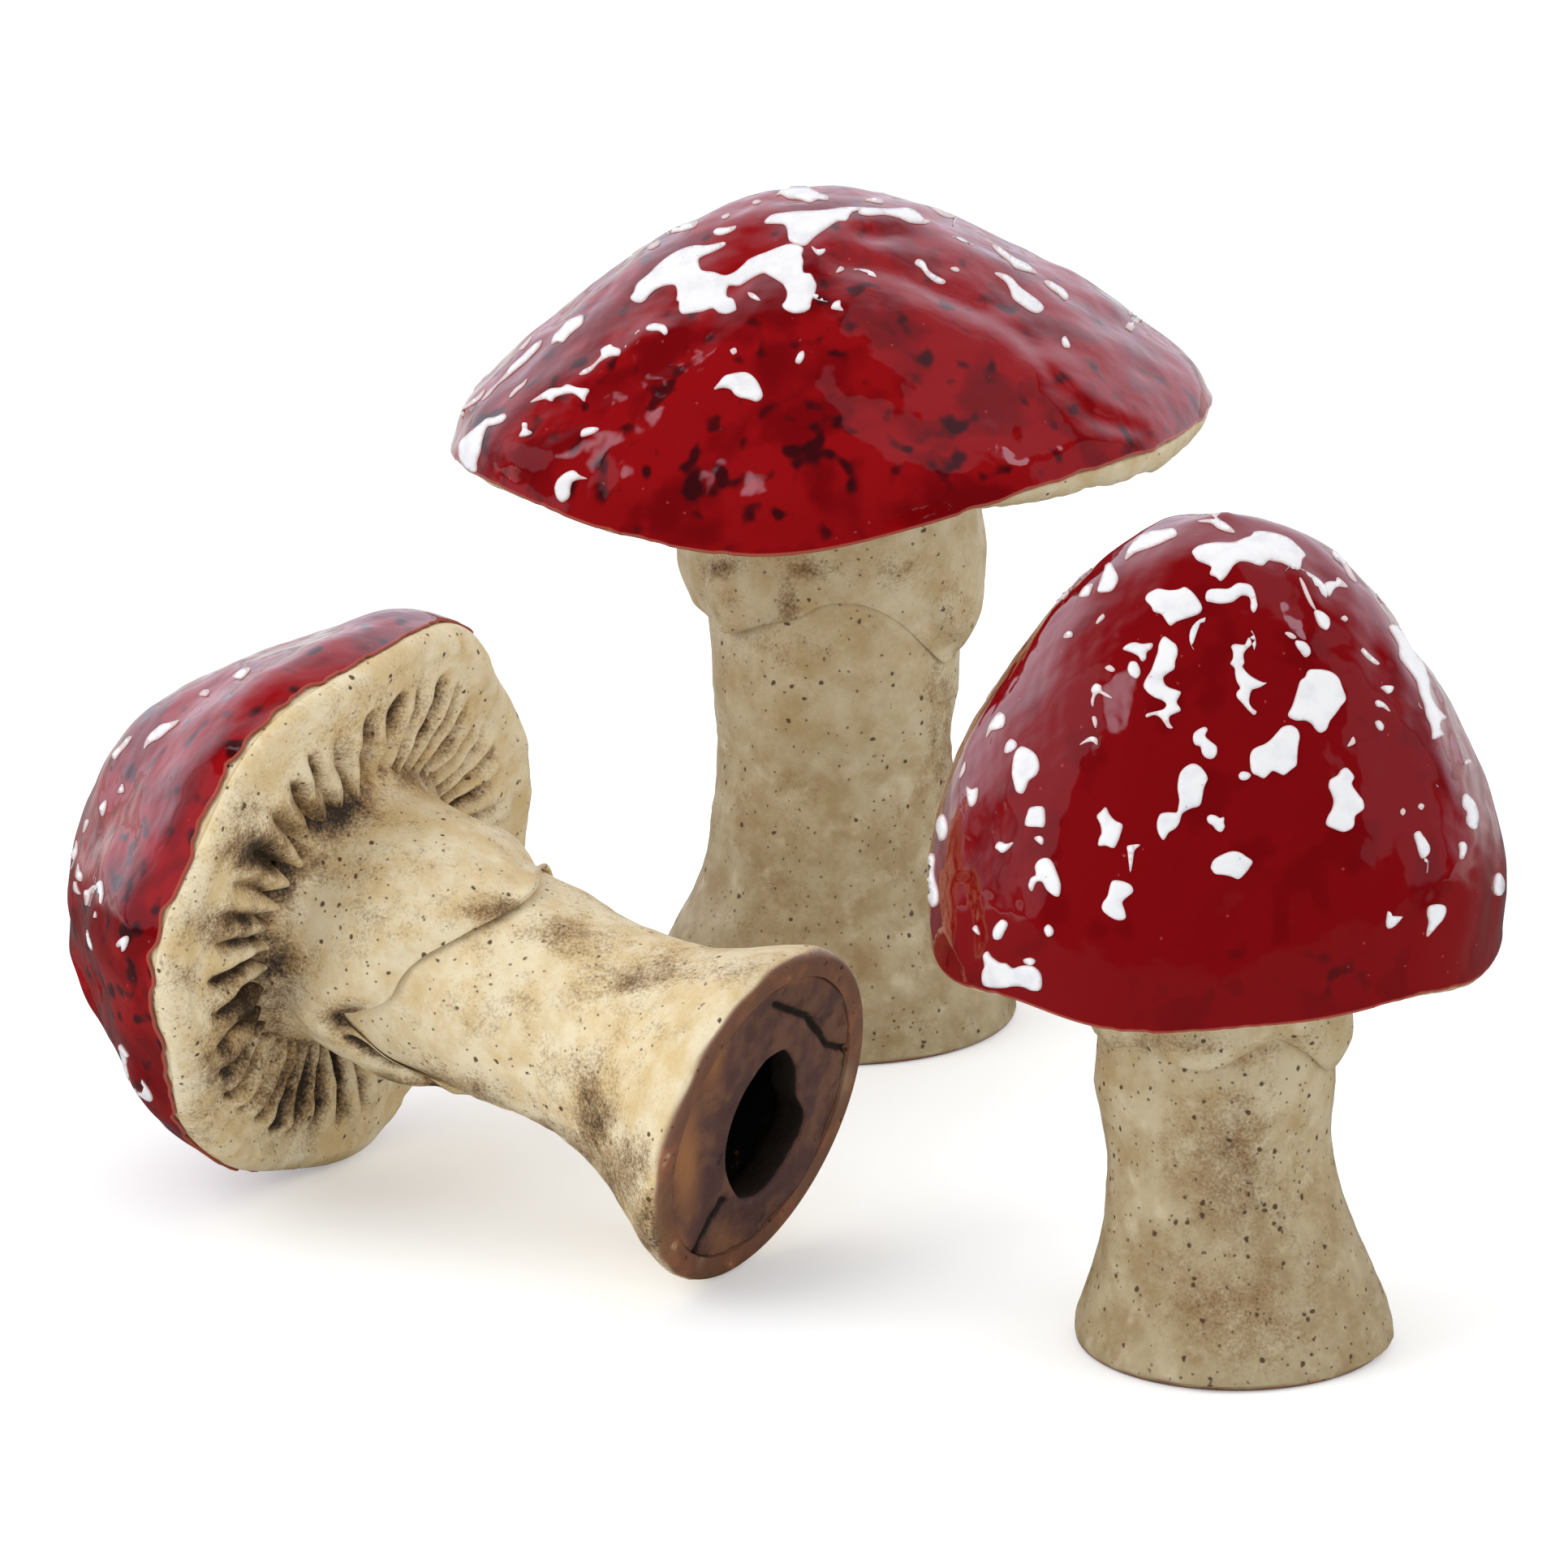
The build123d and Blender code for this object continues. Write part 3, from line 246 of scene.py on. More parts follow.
BELL_PADS_PX = (
    ((1489, 632), (1498, 634), (1512, 629), (1500, 636), (1503, 641), (1510, 645), (1518, 652),
     (1521, 657), (1510, 655), (1500, 651), (1492, 645), (1476, 643), (1487, 641), (1498, 640)),
    ((1387, 690), (1390, 678), (1396, 669), (1402, 662), (1416, 656), (1430, 654), (1445, 652),
     (1450, 656), (1449, 661), (1440, 665), (1432, 669), (1420, 674), (1408, 678), (1398, 682)),
    ((1300, 742), (1304, 732), (1312, 722), (1320, 712), (1332, 702), (1344, 699), (1338, 707),
     (1328, 715), (1321, 719), (1317, 730), (1310, 738)),
    ((1353, 729), (1356, 717), (1361, 704), (1363, 697), (1369, 694), (1373, 701), (1378, 711),
     (1376, 720), (1370, 728), (1362, 730)),
    ((1330, 735), (1334, 727), (1340, 721), (1347, 720), (1345, 727), (1342, 734), (1335, 736)),
    ((1469, 680), (1476, 674), (1486, 671), (1500, 669), (1520, 669), (1532, 664), (1541, 661),
     (1546, 656), (1560, 656), (1575, 659), (1588, 664), (1597, 672), (1608, 684), (1604, 690),
     (1601, 702), (1590, 699), (1580, 694), (1570, 692), (1563, 691), (1556, 697), (1548, 696),
     (1540, 693), (1528, 692), (1520, 697), (1516, 703), (1511, 710), (1504, 716), (1498, 711),
     (1491, 708), (1493, 700), (1488, 696), (1476, 691), (1471, 685)),
    ((1412, 740), (1414, 733), (1420, 729), (1428, 726), (1440, 728), (1452, 727), (1460, 724),
     (1468, 729), (1475, 737), (1480, 745), (1481, 751), (1476, 757), (1462, 762), (1450, 766),
     (1442, 771), (1436, 764), (1431, 757), (1422, 754), (1419, 748)),
    ((1486, 740), (1486, 732), (1491, 727), (1502, 726), (1514, 726), (1523, 720), (1530, 719),
     (1540, 721), (1545, 728), (1548, 740), (1549, 748), (1545, 755), (1541, 750), (1541, 741),
     (1538, 735), (1530, 734), (1524, 738), (1518, 742), (1504, 744), (1492, 742)),
    ((1428, 795), (1432, 787), (1436, 785), (1443, 790), (1450, 796), (1451, 806), (1448, 815),
     (1447, 824), (1440, 829), (1434, 834), (1434, 840), (1438, 846), (1448, 850), (1455, 853),
     (1452, 860), (1450, 866), (1455, 875), (1448, 879), (1441, 883), (1441, 891), (1445, 897),
     (1439, 897), (1434, 890), (1429, 884), (1422, 881), (1413, 884), (1413, 880), (1424, 877),
     (1434, 874), (1437, 868), (1432, 863), (1424, 860), (1416, 855), (1410, 848), (1410, 842),
     (1414, 834), (1419, 826), (1424, 812), (1427, 803)),
    ((1384, 800), (1389, 795), (1398, 792), (1408, 794), (1420, 793), (1419, 799), (1413, 804),
     (1412, 812), (1407, 815), (1403, 809), (1396, 805), (1388, 802)),
    ((1390, 823), (1393, 816), (1400, 816), (1404, 822), (1405, 830), (1401, 836), (1395, 834),
     (1391, 829)),
    ((1345, 850), (1350, 843), (1357, 845), (1358, 851), (1366, 856), (1371, 861), (1362, 858),
     (1354, 854), (1349, 860), (1347, 871), (1345, 864), (1347, 856)),
    ((1362, 824), (1368, 820), (1374, 825), (1370, 828)),
    ((1351, 769), (1354, 762), (1360, 757), (1361, 761), (1356, 766)),
    ((1311, 786), (1315, 779), (1321, 779), (1321, 785)),
    ((1516, 818), (1519, 812), (1519, 803), (1517, 797), (1522, 794), (1533, 795), (1536, 790),
     (1539, 786), (1542, 794), (1536, 800), (1532, 807), (1533, 817), (1531, 822), (1537, 830),
     (1545, 836), (1555, 841), (1560, 842), (1552, 847), (1543, 850), (1540, 856), (1539, 866),
     (1543, 873), (1548, 877), (1545, 881), (1538, 875), (1531, 867), (1524, 859), (1524, 853),
     (1528, 848), (1524, 840), (1522, 832), (1521, 823)),
    ((1587, 880), (1592, 870), (1596, 858), (1599, 848), (1602, 839), (1608, 834), (1612, 826),
     (1622, 825), (1632, 826), (1641, 829), (1649, 836), (1653, 846), (1658, 861), (1652, 870),
     (1645, 880), (1638, 889), (1634, 899), (1627, 903), (1621, 899), (1616, 892), (1608, 888),
     (1598, 888), (1590, 885)),
    ((1540, 935), (1542, 926), (1548, 921), (1558, 917), (1566, 911), (1574, 902), (1580, 896),
     (1590, 894), (1598, 899), (1601, 908), (1599, 920), (1598, 932), (1597, 943), (1590, 949),
     (1582, 955), (1576, 953), (1568, 950), (1562, 955), (1557, 959), (1550, 956), (1542, 951)),
    ((1526, 956), (1530, 951), (1538, 952), (1541, 956), (1536, 961), (1529, 961)),
    ((1619, 755), (1622, 752), (1630, 755), (1637, 762), (1638, 770), (1635, 776), (1630, 775),
     (1624, 769)),
    ((1601, 712), (1607, 720), (1612, 732), (1617, 743), (1621, 752), (1615, 746), (1609, 735),
     (1604, 722)),
    ((1630, 725), (1632, 719), (1638, 717), (1645, 717), (1647, 712), (1653, 716), (1660, 724),
     (1650, 723), (1643, 727), (1638, 735), (1633, 731)),
    ((1641, 680), (1648, 681), (1655, 688), (1661, 697), (1666, 708), (1671, 718), (1663, 712),
     (1658, 703), (1652, 694), (1644, 688)),
    ((1696, 730), (1702, 736), (1710, 742), (1716, 750), (1722, 759), (1714, 752), (1706, 745),
     (1699, 738)),
    ((1711, 774), (1715, 770), (1723, 773), (1731, 780), (1738, 788), (1744, 799), (1750, 812),
     (1756, 826), (1760, 838), (1761, 850), (1764, 862), (1770, 872), (1777, 880), (1781, 884),
     (1779, 887), (1774, 890), (1774, 898), (1778, 905), (1774, 908), (1765, 911), (1764, 902),
     (1762, 893), (1757, 882), (1754, 868), (1749, 855), (1745, 840), (1738, 829), (1731, 820),
     (1724, 810), (1723, 797), (1718, 786)),
    ((1596, 790), (1602, 790), (1608, 792), (1613, 798), (1614, 806), (1608, 810), (1602, 803),
     (1597, 796)),
    ((1583, 780), (1590, 780), (1597, 786), (1591, 787)),
    ((1677, 803), (1679, 799), (1685, 805), (1692, 811), (1699, 818), (1695, 819), (1686, 813)),
    ((1701, 847), (1707, 845), (1716, 846), (1715, 852), (1710, 855), (1705, 851)),
    ((1694, 865), (1698, 863), (1706, 868), (1712, 877), (1704, 872), (1697, 871)),
    ((1694, 890), (1699, 888), (1704, 894), (1703, 900), (1698, 899)),
    ((1652, 762), (1656, 759), (1660, 763), (1657, 766)),
    ((1638, 962), (1641, 959), (1648, 955), (1652, 949), (1658, 946), (1664, 951), (1668, 958),
     (1665, 965), (1668, 972), (1674, 980), (1679, 987), (1680, 996), (1675, 1001), (1669, 1006),
     (1668, 1016), (1664, 1022), (1655, 1025), (1645, 1022), (1634, 1016), (1636, 1006),
     (1641, 997), (1643, 987), (1640, 977), (1637, 970)),
    ((1470, 912), (1471, 904), (1477, 899), (1484, 896), (1488, 899), (1485, 907), (1492, 914),
     (1499, 920), (1499, 929), (1494, 935), (1486, 934), (1481, 928), (1479, 920), (1473, 918)),
    ((1452, 960), (1455, 951), (1462, 944), (1470, 941), (1478, 944), (1485, 952), (1488, 960),
     (1484, 969), (1482, 979), (1480, 989), (1476, 994), (1468, 996), (1460, 1000), (1456, 1004),
     (1453, 1014), (1448, 1021), (1440, 1026), (1434, 1035), (1429, 1030), (1426, 1022),
     (1426, 1012), (1430, 1003), (1440, 1001), (1450, 1001), (1452, 994), (1453, 985), (1451, 972)),
    ((1487, 1008), (1491, 1004), (1498, 1005), (1503, 1008), (1508, 1007), (1508, 1014),
     (1509, 1019), (1505, 1025), (1499, 1023), (1494, 1017), (1489, 1014)),
    ((1492, 1068), (1496, 1059), (1506, 1053), (1517, 1049), (1527, 1050), (1535, 1055),
     (1543, 1061), (1540, 1068), (1534, 1076), (1526, 1083), (1517, 1080), (1508, 1078),
     (1498, 1077), (1494, 1073)),
    ((1248, 947), (1249, 938), (1251, 929), (1254, 924), (1260, 920), (1270, 924), (1278, 932),
     (1281, 945), (1277, 955), (1268, 962), (1265, 970), (1260, 978), (1253, 975), (1250, 965),
     (1248, 956)),
    ((1239, 928), (1240, 918), (1246, 911), (1252, 914), (1253, 920), (1247, 926)),
    ((1216, 909), (1218, 899), (1222, 890), (1228, 882), (1232, 878), (1238, 881), (1239, 889),
     (1236, 896), (1229, 899), (1221, 901)),
    ((1183, 959), (1186, 948), (1190, 939), (1189, 950)),
    ((1192, 970), (1198, 973), (1205, 971), (1205, 980), (1202, 990), (1196, 994), (1193, 984)),
    ((1154, 1018), (1157, 1008), (1162, 1003), (1166, 1010), (1168, 1022), (1165, 1033),
     (1159, 1036), (1156, 1028)),
    ((1143, 1083), (1144, 1062), (1148, 1051), (1152, 1058), (1151, 1072), (1152, 1083),
     (1156, 1098), (1156, 1112), (1150, 1118), (1146, 1112), (1143, 1098)),
    ((1264, 1017), (1267, 1002), (1271, 995), (1285, 994), (1288, 1003), (1287, 1018),
     (1278, 1019)),
    ((1227, 1044), (1232, 1037), (1241, 1040), (1249, 1038), (1244, 1045), (1236, 1051),
     (1231, 1048)),
    ((1275, 1033), (1282, 1030), (1286, 1034), (1284, 1041)),
    ((1276, 1068), (1281, 1060), (1289, 1057), (1296, 1061), (1302, 1074), (1307, 1090),
     (1305, 1104), (1298, 1103), (1290, 1096), (1285, 1087), (1277, 1087), (1272, 1098),
     (1268, 1092), (1271, 1082), (1277, 1078)),
    ((1352, 1006), (1358, 999), (1363, 995), (1367, 1003), (1374, 1011), (1383, 1016), (1381, 1027),
     (1377, 1038), (1372, 1045), (1363, 1042), (1354, 1042), (1355, 1033), (1358, 1026),
     (1356, 1015)),
    ((1368, 1092), (1372, 1085), (1384, 1086), (1394, 1091), (1396, 1099), (1388, 1106),
     (1383, 1112), (1386, 1122), (1387, 1131), (1380, 1134), (1370, 1131), (1359, 1122),
     (1359, 1113), (1365, 1104)),
    ((1389, 1043), (1396, 1041), (1405, 1041), (1398, 1048), (1396, 1060), (1393, 1075),
     (1391, 1062), (1390, 1051)),
    ((1224, 1150), (1227, 1141), (1235, 1133), (1242, 1138), (1238, 1148), (1233, 1157),
     (1226, 1157)),
    ((1287, 1145), (1292, 1139), (1298, 1145), (1297, 1152), (1291, 1154)),
    ((1211, 1210), (1211, 1198), (1214, 1190), (1212, 1178), (1217, 1172), (1222, 1179),
     (1232, 1186), (1240, 1187), (1248, 1193), (1258, 1190), (1272, 1190), (1282, 1199),
     (1284, 1212), (1281, 1220), (1271, 1220), (1262, 1216), (1250, 1215), (1238, 1217),
     (1226, 1217), (1215, 1215)),
    ((1262, 1182), (1270, 1180), (1276, 1184), (1272, 1189), (1264, 1187)),
    ((1199, 1145), (1203, 1140), (1206, 1146), (1207, 1152)),
    ((1331, 918), (1338, 912), (1345, 908), (1352, 910), (1352, 918), (1346, 914), (1338, 915)),
    ((1346, 885), (1350, 883), (1352, 890), (1350, 897)),
    ((1801, 990), (1802, 981), (1806, 978), (1812, 984), (1817, 992), (1821, 1003), (1820, 1016),
     (1817, 1022), (1810, 1019), (1806, 1011), (1807, 1001), (1803, 996)),
    ((1742, 1028), (1748, 1024), (1752, 1029), (1757, 1036), (1761, 1045), (1759, 1053),
     (1752, 1058), (1748, 1051), (1745, 1040)),
    ((1797, 1040), (1801, 1037), (1806, 1041), (1806, 1050), (1802, 1058), (1798, 1057),
     (1798, 1048)),
    ((1760, 1117), (1770, 1114), (1779, 1116), (1781, 1123), (1777, 1133), (1770, 1141),
     (1764, 1148), (1758, 1154), (1758, 1146), (1760, 1136), (1758, 1126)),
    ((1840, 1086), (1844, 1076), (1849, 1078), (1853, 1088), (1852, 1098), (1847, 1104),
     (1841, 1100)),
    ((1747, 994), (1750, 990), (1754, 993), (1751, 998)),
    ((1725, 1000), (1728, 996), (1731, 1000), (1728, 1005)),
    ((1804, 942), (1806, 936), (1811, 937), (1811, 941)),
    ((1660, 920), (1664, 912), (1667, 908), (1669, 916)),
)
LYING_PADS_PX = (
    ((178, 923), (180, 914), (185, 906), (192, 899), (200, 893), (210, 891), (221, 888), (216, 894),
     (207, 901), (198, 909), (188, 914), (182, 918)),
    ((287, 835), (293, 829), (301, 824), (309, 824), (304, 831), (297, 837)),
    ((246, 856), (251, 851), (258, 851), (256, 857), (249, 858)),
    ((139, 930), (148, 920), (157, 910), (163, 908), (157, 918), (148, 928), (142, 936)),
    ((146, 977), (150, 968), (152, 967), (153, 976)),
    ((124, 994), (131, 986), (131, 996), (127, 1006), (124, 999)),
    ((103, 1026), (105, 1014), (108, 1010), (110, 1012), (106, 1022)),
    ((84, 1071), (88, 1055), (93, 1042), (95, 1036), (96, 1050), (92, 1060), (88, 1070)),
    ((94, 1080), (97, 1064), (98, 1072), (102, 1078), (100, 1086)),
    ((91, 1090), (93, 1086), (96, 1096), (99, 1102), (92, 1098)),
    ((105, 1098), (110, 1096), (116, 1091), (118, 1093), (112, 1101), (110, 1110), (107, 1116),
     (105, 1108)),
    ((116, 1130), (118, 1123), (119, 1130)),
    ((144, 1164), (149, 1157), (156, 1153), (159, 1157), (155, 1169), (151, 1172), (150, 1165),
     (147, 1167)),
)
PADS_PX = {"wide": WIDE_PADS_PX, "bell": BELL_PADS_PX, "lying": LYING_PADS_PX}

# White pads on the sides that the photograph doesn't show
HIDDEN_PAD_COUNTS = {"wide": 34, "bell": 42, "lying": 30}
HIDDEN_FACING = -0.12  # cosine to the view, below which a spot is out of the photograph's sight
PAD_SIZES_MM = (3.5, 12.0)
PAD_TRIES = 4000
PAD_SPACING_SHARE = 0.62  # least distance of two pads, as a share of their sizes
PAD_PLACES = (0.1, 0.94)  # from the top of the dome to its rim
BLOB_SWING = 0.55  # how far the lobes of a hidden pad swing

# Dents in the domes: pixel, half width and half height in pixels, depth in millimetres
DENTS = {
    "wide": ((1088, 287, 34, 12, 0.9),),
    "bell": (),
    "lying": ((150, 1215, 70, 34, 1.3), (300, 880, 60, 30, 0.5)),
}
# Creases in the domes, or ridges where the depth is below zero: line of pixels, width in
# pixels and depth in millimetres
CREASES = {
    "wide": (
        (
            (
                (1023, 318), (1100, 333), (1186, 366), (1265, 412), (1298, 475), (1345, 512),
                (1408, 528),
            ),
            13,
            0.45,
        ),
        (((890, 475), (740, 540), (650, 570)), 22, -0.55),
        (((715, 475), (790, 415)), 18, -0.35),
    ),
    "bell": ((((1190, 1090), (1200, 1150), (1195, 1210)), 12, 0.5),),
    "lying": (
        (((375, 868), (420, 832), (448, 805)), 12, -0.5),
        (((455, 778), (495, 762)), 7, -0.3),
    ),
}
# Blackish mottling of the red glaze: pixel, half width, half height and strength, and the
# strength everywhere else
MOTTLES = {
    "wide": (
        (860, 600, 240, 70, 0.8), (1100, 560, 170, 90, 1.0), (1380, 480, 90, 50, 0.7),
        (600, 540, 70, 60, 0.8), (1200, 440, 120, 70, 0.6), (720, 460, 90, 60, 0.5),
    ),
    "bell": ((1560, 1200, 160, 40, 0.4),),
    "lying": (
        (170, 1250, 80, 120, 0.9), (330, 900, 110, 60, 1.0), (150, 1100, 80, 90, 0.9),
        (230, 1010, 80, 60, 0.8),
    ),
}
MOTTLE_LEVEL = {"wide": 0.4, "bell": 0.08, "lying": 0.55}

# Oxide stains, with painted shade in the hollow by the neck: pixel, half width, half height and
# strength
GILL_STAINS_AND_SHADE = {
    "wide": (),
    "bell": (),
    "lying": (
        (325, 1245, 55, 34, 1.0), (285, 1310, 46, 52, 0.62), (360, 1340, 50, 60, 0.62),
        (318, 1050, 46, 34, 0.85), (285, 1140, 60, 26, 0.6), (225, 1205, 26, 20, 0.4),
        (415, 1010, 90, 34, 0.7), (490, 985, 50, 30, 0.75), (250, 1380, 30, 40, 0.3),
        (470, 900, 90, 60, 0.2), (300, 1000, 40, 26, 0.3),
    ),
}
# Gills that stand out more or less: pixel, half width, half height and share
GILL_BOOSTS = {
    "wide": (),
    "bell": (),
    "lying": ((530, 880, 110, 110, 1.0), (300, 1370, 110, 70, 0.7)),
}
GILL_PLAINS = {
    "wide": (),
    "bell": (),
    "lying": ((235, 1100, 60, 70, 0.8), (400, 900, 60, 60, 0.6)),
}
# Oxide stains, with painted shade under the caps and hems, along the shaded sides of the stems and
# in their cuts: pixel, half width, half height and strength
STEM_STAINS_AND_SHADE = {
    "wide": (
        (1165, 900, 30, 120, 0.4), (960, 1010, 60, 70, 0.14), (960, 800, 60, 26, 0.22),
        (1110, 1030, 30, 60, 0.2), (1130, 1260, 50, 40, 0.16), (1000, 1100, 70, 60, 0.12),
    ),
    "bell": (
        (1400, 1285, 60, 14, 0.35), (1545, 1290, 80, 14, 0.3), (1520, 1430, 70, 120, 0.46),
        (1525, 1610, 100, 66, 0.46),
    ),
    "lying": (
        (728, 1380, 32, 70, 0.58), (520, 1345, 80, 24, 0.8), (705, 1150, 90, 26, 0.34),
        (600, 1115, 44, 20, 0.45), (800, 1196, 76, 24, 0.34), (765, 1450, 34, 60, 0.55),
        (800, 1510, 24, 60, 0.6), (850, 1200, 70, 12, 0.35), (640, 1395, 80, 14, 0.5),
        (600, 1250, 90, 60, 0.1), (800, 1330, 60, 60, 0.12),
    ),
}
SKIRT_STAINS_AND_SHADE = {
    "wide": (
        (890, 700, 26, 16, 0.6), (902, 735, 20, 14, 0.45), (972, 745, 15, 40, 0.65),
        (998, 702, 34, 16, 0.55), (1100, 700, 40, 14, 0.2), (1120, 790, 50, 20, 0.25),
        (1180, 760, 26, 60, 0.3), (940, 780, 30, 14, 0.3),
    ),
    "bell": ((1440, 1285, 90, 14, 0.35), (1600, 1285, 40, 16, 0.35)),
    "lying": (
        (620, 1122, 50, 18, 0.5), (425, 1252, 30, 18, 0.8), (400, 1000, 90, 30, 0.45),
        (350, 1200, 30, 60, 0.6), (470, 1335, 60, 16, 0.8), (520, 1060, 60, 20, 0.22),
        (330, 1060, 30, 50, 0.7), (450, 1060, 60, 30, 0.2),
    ),
}
# Cuts and cracks, with painted shadow along the skirts' cuts: line of pixels, width in pixels and
# depth in millimetres
SKIRT_CUTS = {
    "wide": ((((1183, 805), (1165, 860)), 5, 0.9),),
    "bell": (),
    "lying": ((((430, 1280), (490, 1315), (550, 1350)), 7, 1.0),),
}
FOOT_CRACKS = {
    "wide": (),
    "bell": (),
    "lying": (
        (((960, 1240), (1000, 1255), (1025, 1290), (1050, 1295)), 6, 1.0),
        (((895, 1480), (865, 1530), (855, 1565), (880, 1578)), 5, 0.9),
        (((1045, 1310), (1050, 1360), (1040, 1415)), 8, 0.6),
        (((1020, 1430), (980, 1490), (945, 1540)), 8, 0.6),
    ),
}
# Orange tint of the foot's disc: pixel, half width, half height and strength
FOOT_TINTS = {
    "wide": (),
    "bell": (),
    "lying": (
        (845, 1430, 22, 90, 0.7), (875, 1290, 22, 70, 0.7), (950, 1205, 60, 12, 0.7),
        (835, 1545, 20, 50, 0.6), (895, 1530, 34, 40, 0.42),
    ),
}

# Sections: share of the way down a skirt and share of its thickness, and the rounded lower
# edge of the red glaze as inset and drop in millimetres
SKIRT_SECTION_SHARES = ((0, 0.5), (0.35, 0.75), (0.7, 1.0), (0.88, 0.74), (1, 0.22))
SKIRT_LEAST_MM = 0.25  # thinnest that a skirt is pressed
GLAZE_LIP_MM = ((0.1, 0.2), (0.35, 0.3), (0.5, 0.05))
GILL_FADE_SHARE = 0.72  # how far out the gills keep their full depth
GILL_CREST_POWER = 0.9  # how round the gills' crests are
FUNNEL_MM = (5.5, 6.5)  # the gills turn down along the neck: reach and drop
HOLLOW_PAINTED_SHADE = 2  # painted shade: the inside of a stem's hollow, drawn near black as if unlit
NECK_SHADE_REACH = 0.5  # share of the gills, from the neck outwards, that gets painted shade
WORN_HEIGHT_MM = {"wide": 0.9, "bell": 1.1, "lying": 1.5}  # toasted clay at the bottom of a stem
CREAM_LEVEL = {"wide": (0.0, 0.55), "bell": (0.0, 0.45), "lying": (1.0, 1.0)}  # at foot and neck
SPECK_LEVEL = {"wide": (0.9, 0.45), "bell": (1.5, 1.0), "lying": (0.6, 0.7)}  # at foot and neck
BASE_STAIN = {"wide": 0.06, "bell": 0.06, "lying": 0.1}
STAIN_SWAY = {"wide": 0.07, "bell": 0.06, "lying": 0.12}  # how much the base stain comes and goes
POOLED = {"wide": 0.3, "bell": 0.75, "lying": 0.2}  # least share of the deep red
# Hand pressure on the stems: degrees, half width in degrees, height, half height and depth in
# millimetres, or a swelling where the depth is below zero
SQUEEZES = {
    "wide": (),
    "bell": ((0, 65, 27, 24, -1.6),),
    "lying": ((272, 62, 47, 19, 2.4), (90, 60, 40, 15, 0.8)),
}
# Dents in the skirts, or knobs where the depth is below zero: pixel, half width, half height
# and depth in millimetres
SKIRT_DENTS = {
    "wide": (
        (893, 703, 24, 18, 1.3), (972, 735, 13, 46, 1.1), (1045, 705, 26, 22, -0.9),
        (925, 752, 40, 14, -0.9), (1130, 740, 24, 50, 0.7), (862, 725, 12, 30, -0.6),
    ),
    "bell": ((1500, 1290, 70, 10, -0.5), (1613, 1297, 12, 9, -0.9)),
    "lying": (
        (600, 1122, 44, 16, 0.9), (470, 1160, 60, 34, -1.0), (548, 1082, 40, 20, 0.7),
        (430, 1250, 26, 14, 1.0), (400, 1080, 60, 40, 0.8), (590, 1080, 20, 18, -0.7),
    ),
}
TRUMPET_MM = (7.0, 5.5)  # the skirts flare into the gills: reach down the neck and spread
LEAST_BARE_RIM_MM = 0.05  # least bare clay over a rim
BAND_INSETS_MM = (5.4, 6.2, 7.0)  # the plain band between the lip and the gills
DISC_SINK_MM = 0.3  # how far the disc's face lies above the bottom of the foot
# The stake holes: a low collar by its place, width and height, a rounded edge, and the wall as
# millimetres that it stands back and share of the disc's thickness
HOLE_COLLAR = (0.12, 0.1, 0.5)
HOLE_ROUNDING_MM = 0.7
HOLE_WALL = ((-0.1, 0.25), (0.1, 0.5), (0.4, 0.75), (1.2, 1.0))
# The skirts: how upright the folds run, the rounding under a hem as share of its stand and drop
# in millimetres, and the rings up the back
FOLD_STRETCH = 0.35
HEM_ROUNDING = ((0.86, 0.3), (0.6, 0.45), (0.3, 0.35))
SKIRT_BACK_SHARES = (0.96, 0.6, 0.3, 0.0)

# Unevenness by hand: strength, size across in millimetres and step of the random seed
RIPPLE_COUNT = 28
RIPPLES = {
    "dome": ((1, 30, 1), (0.42, 11, 2), (0.06, 4, 3)),
    "glaze_rim": ((1, 7, 5), (0.5, 3, 6)),
    "gill_drift": ((1.3, 30, 20), (0.45, 10, 21)),
    "gill_strength": ((0.35, 19, 22),),
    "gill_bumps": ((0.4, 12, 23), (0.12, 4, 24)),
    "gill_wash": ((0.4, 22, 25), (0.2, 7, 26)),
    "gill_ends": ((0.14, 14, 27),),
    "lip": ((0.35, 11, 31), (0.14, 4, 32)),
    "band": ((0.3, 10, 33),),
    "stem": ((0.4, 24, 41), (0.09, 8, 42), (0.05, 3, 43)),
    "worn_edge": ((0.4, 9, 44),),
    "stem_cloud": ((1, 16, 45),),
    "disc": ((0.3, 13, 51), (0.14, 4, 52)),
    "skirt_folds": ((0.35, 8, 61),),
    "skirt": ((0.35, 16, 62), (0.05, 3.5, 63)),
    "skirt_cloud": ((1, 16, 64),),
    "pad": ((0.12, 3, 71),),
}

# Bright panels of the studio that the glaze shows: direction, cosines where a panel is full
# and where it ends, and strength
STUDIO_GLOW = 0.035  # the studio where no panel is
STUDIO_BOXES = (
    ((0, 1, 0), 0.75, 0.22, 1.25),
    ((-0.93, 0.10, 0.36), 0.95, 0.93, 0.45),
    ((0.93, -0.02, 0.36), 0.95, 0.93, 0.3),
    ((0.35, 0.10, 0.93), 0.95, 0.93, 0.35),
    ((-0.70, -0.20, 0.68), 0.9975, 0.985, 3.2),
    ((-0.55, 0.25, 0.79), 0.998, 0.993, 9.0),
    ((0.62, -0.10, 0.78), 0.9985, 0.996, 3.5),
)

# The lamps, in metres: name, place, the spot that they shine at and their two sides
LAMPS = (
    ("key", (-1.1, -0.5, 0.9), (0, 0, 0.06), (0.9, 1.2)),
    ("fill", (1.2, -0.3, 0.7), (0, 0, 0.06), (0.9, 1.2)),
    ("top", (-0.1, 0.4, 1.5), (0, 0, 0.05), (1.2, 1.2)),
)
FLOOR_FADE = (0.1, 0.5)  # metres behind the middle where the floor turns bright in the glaze
GLAZE_IOR, PAD_IOR, CLAY_IOR = 1.52, 1.5, 1.45
FOOT_ROUGHNESS = 0.72

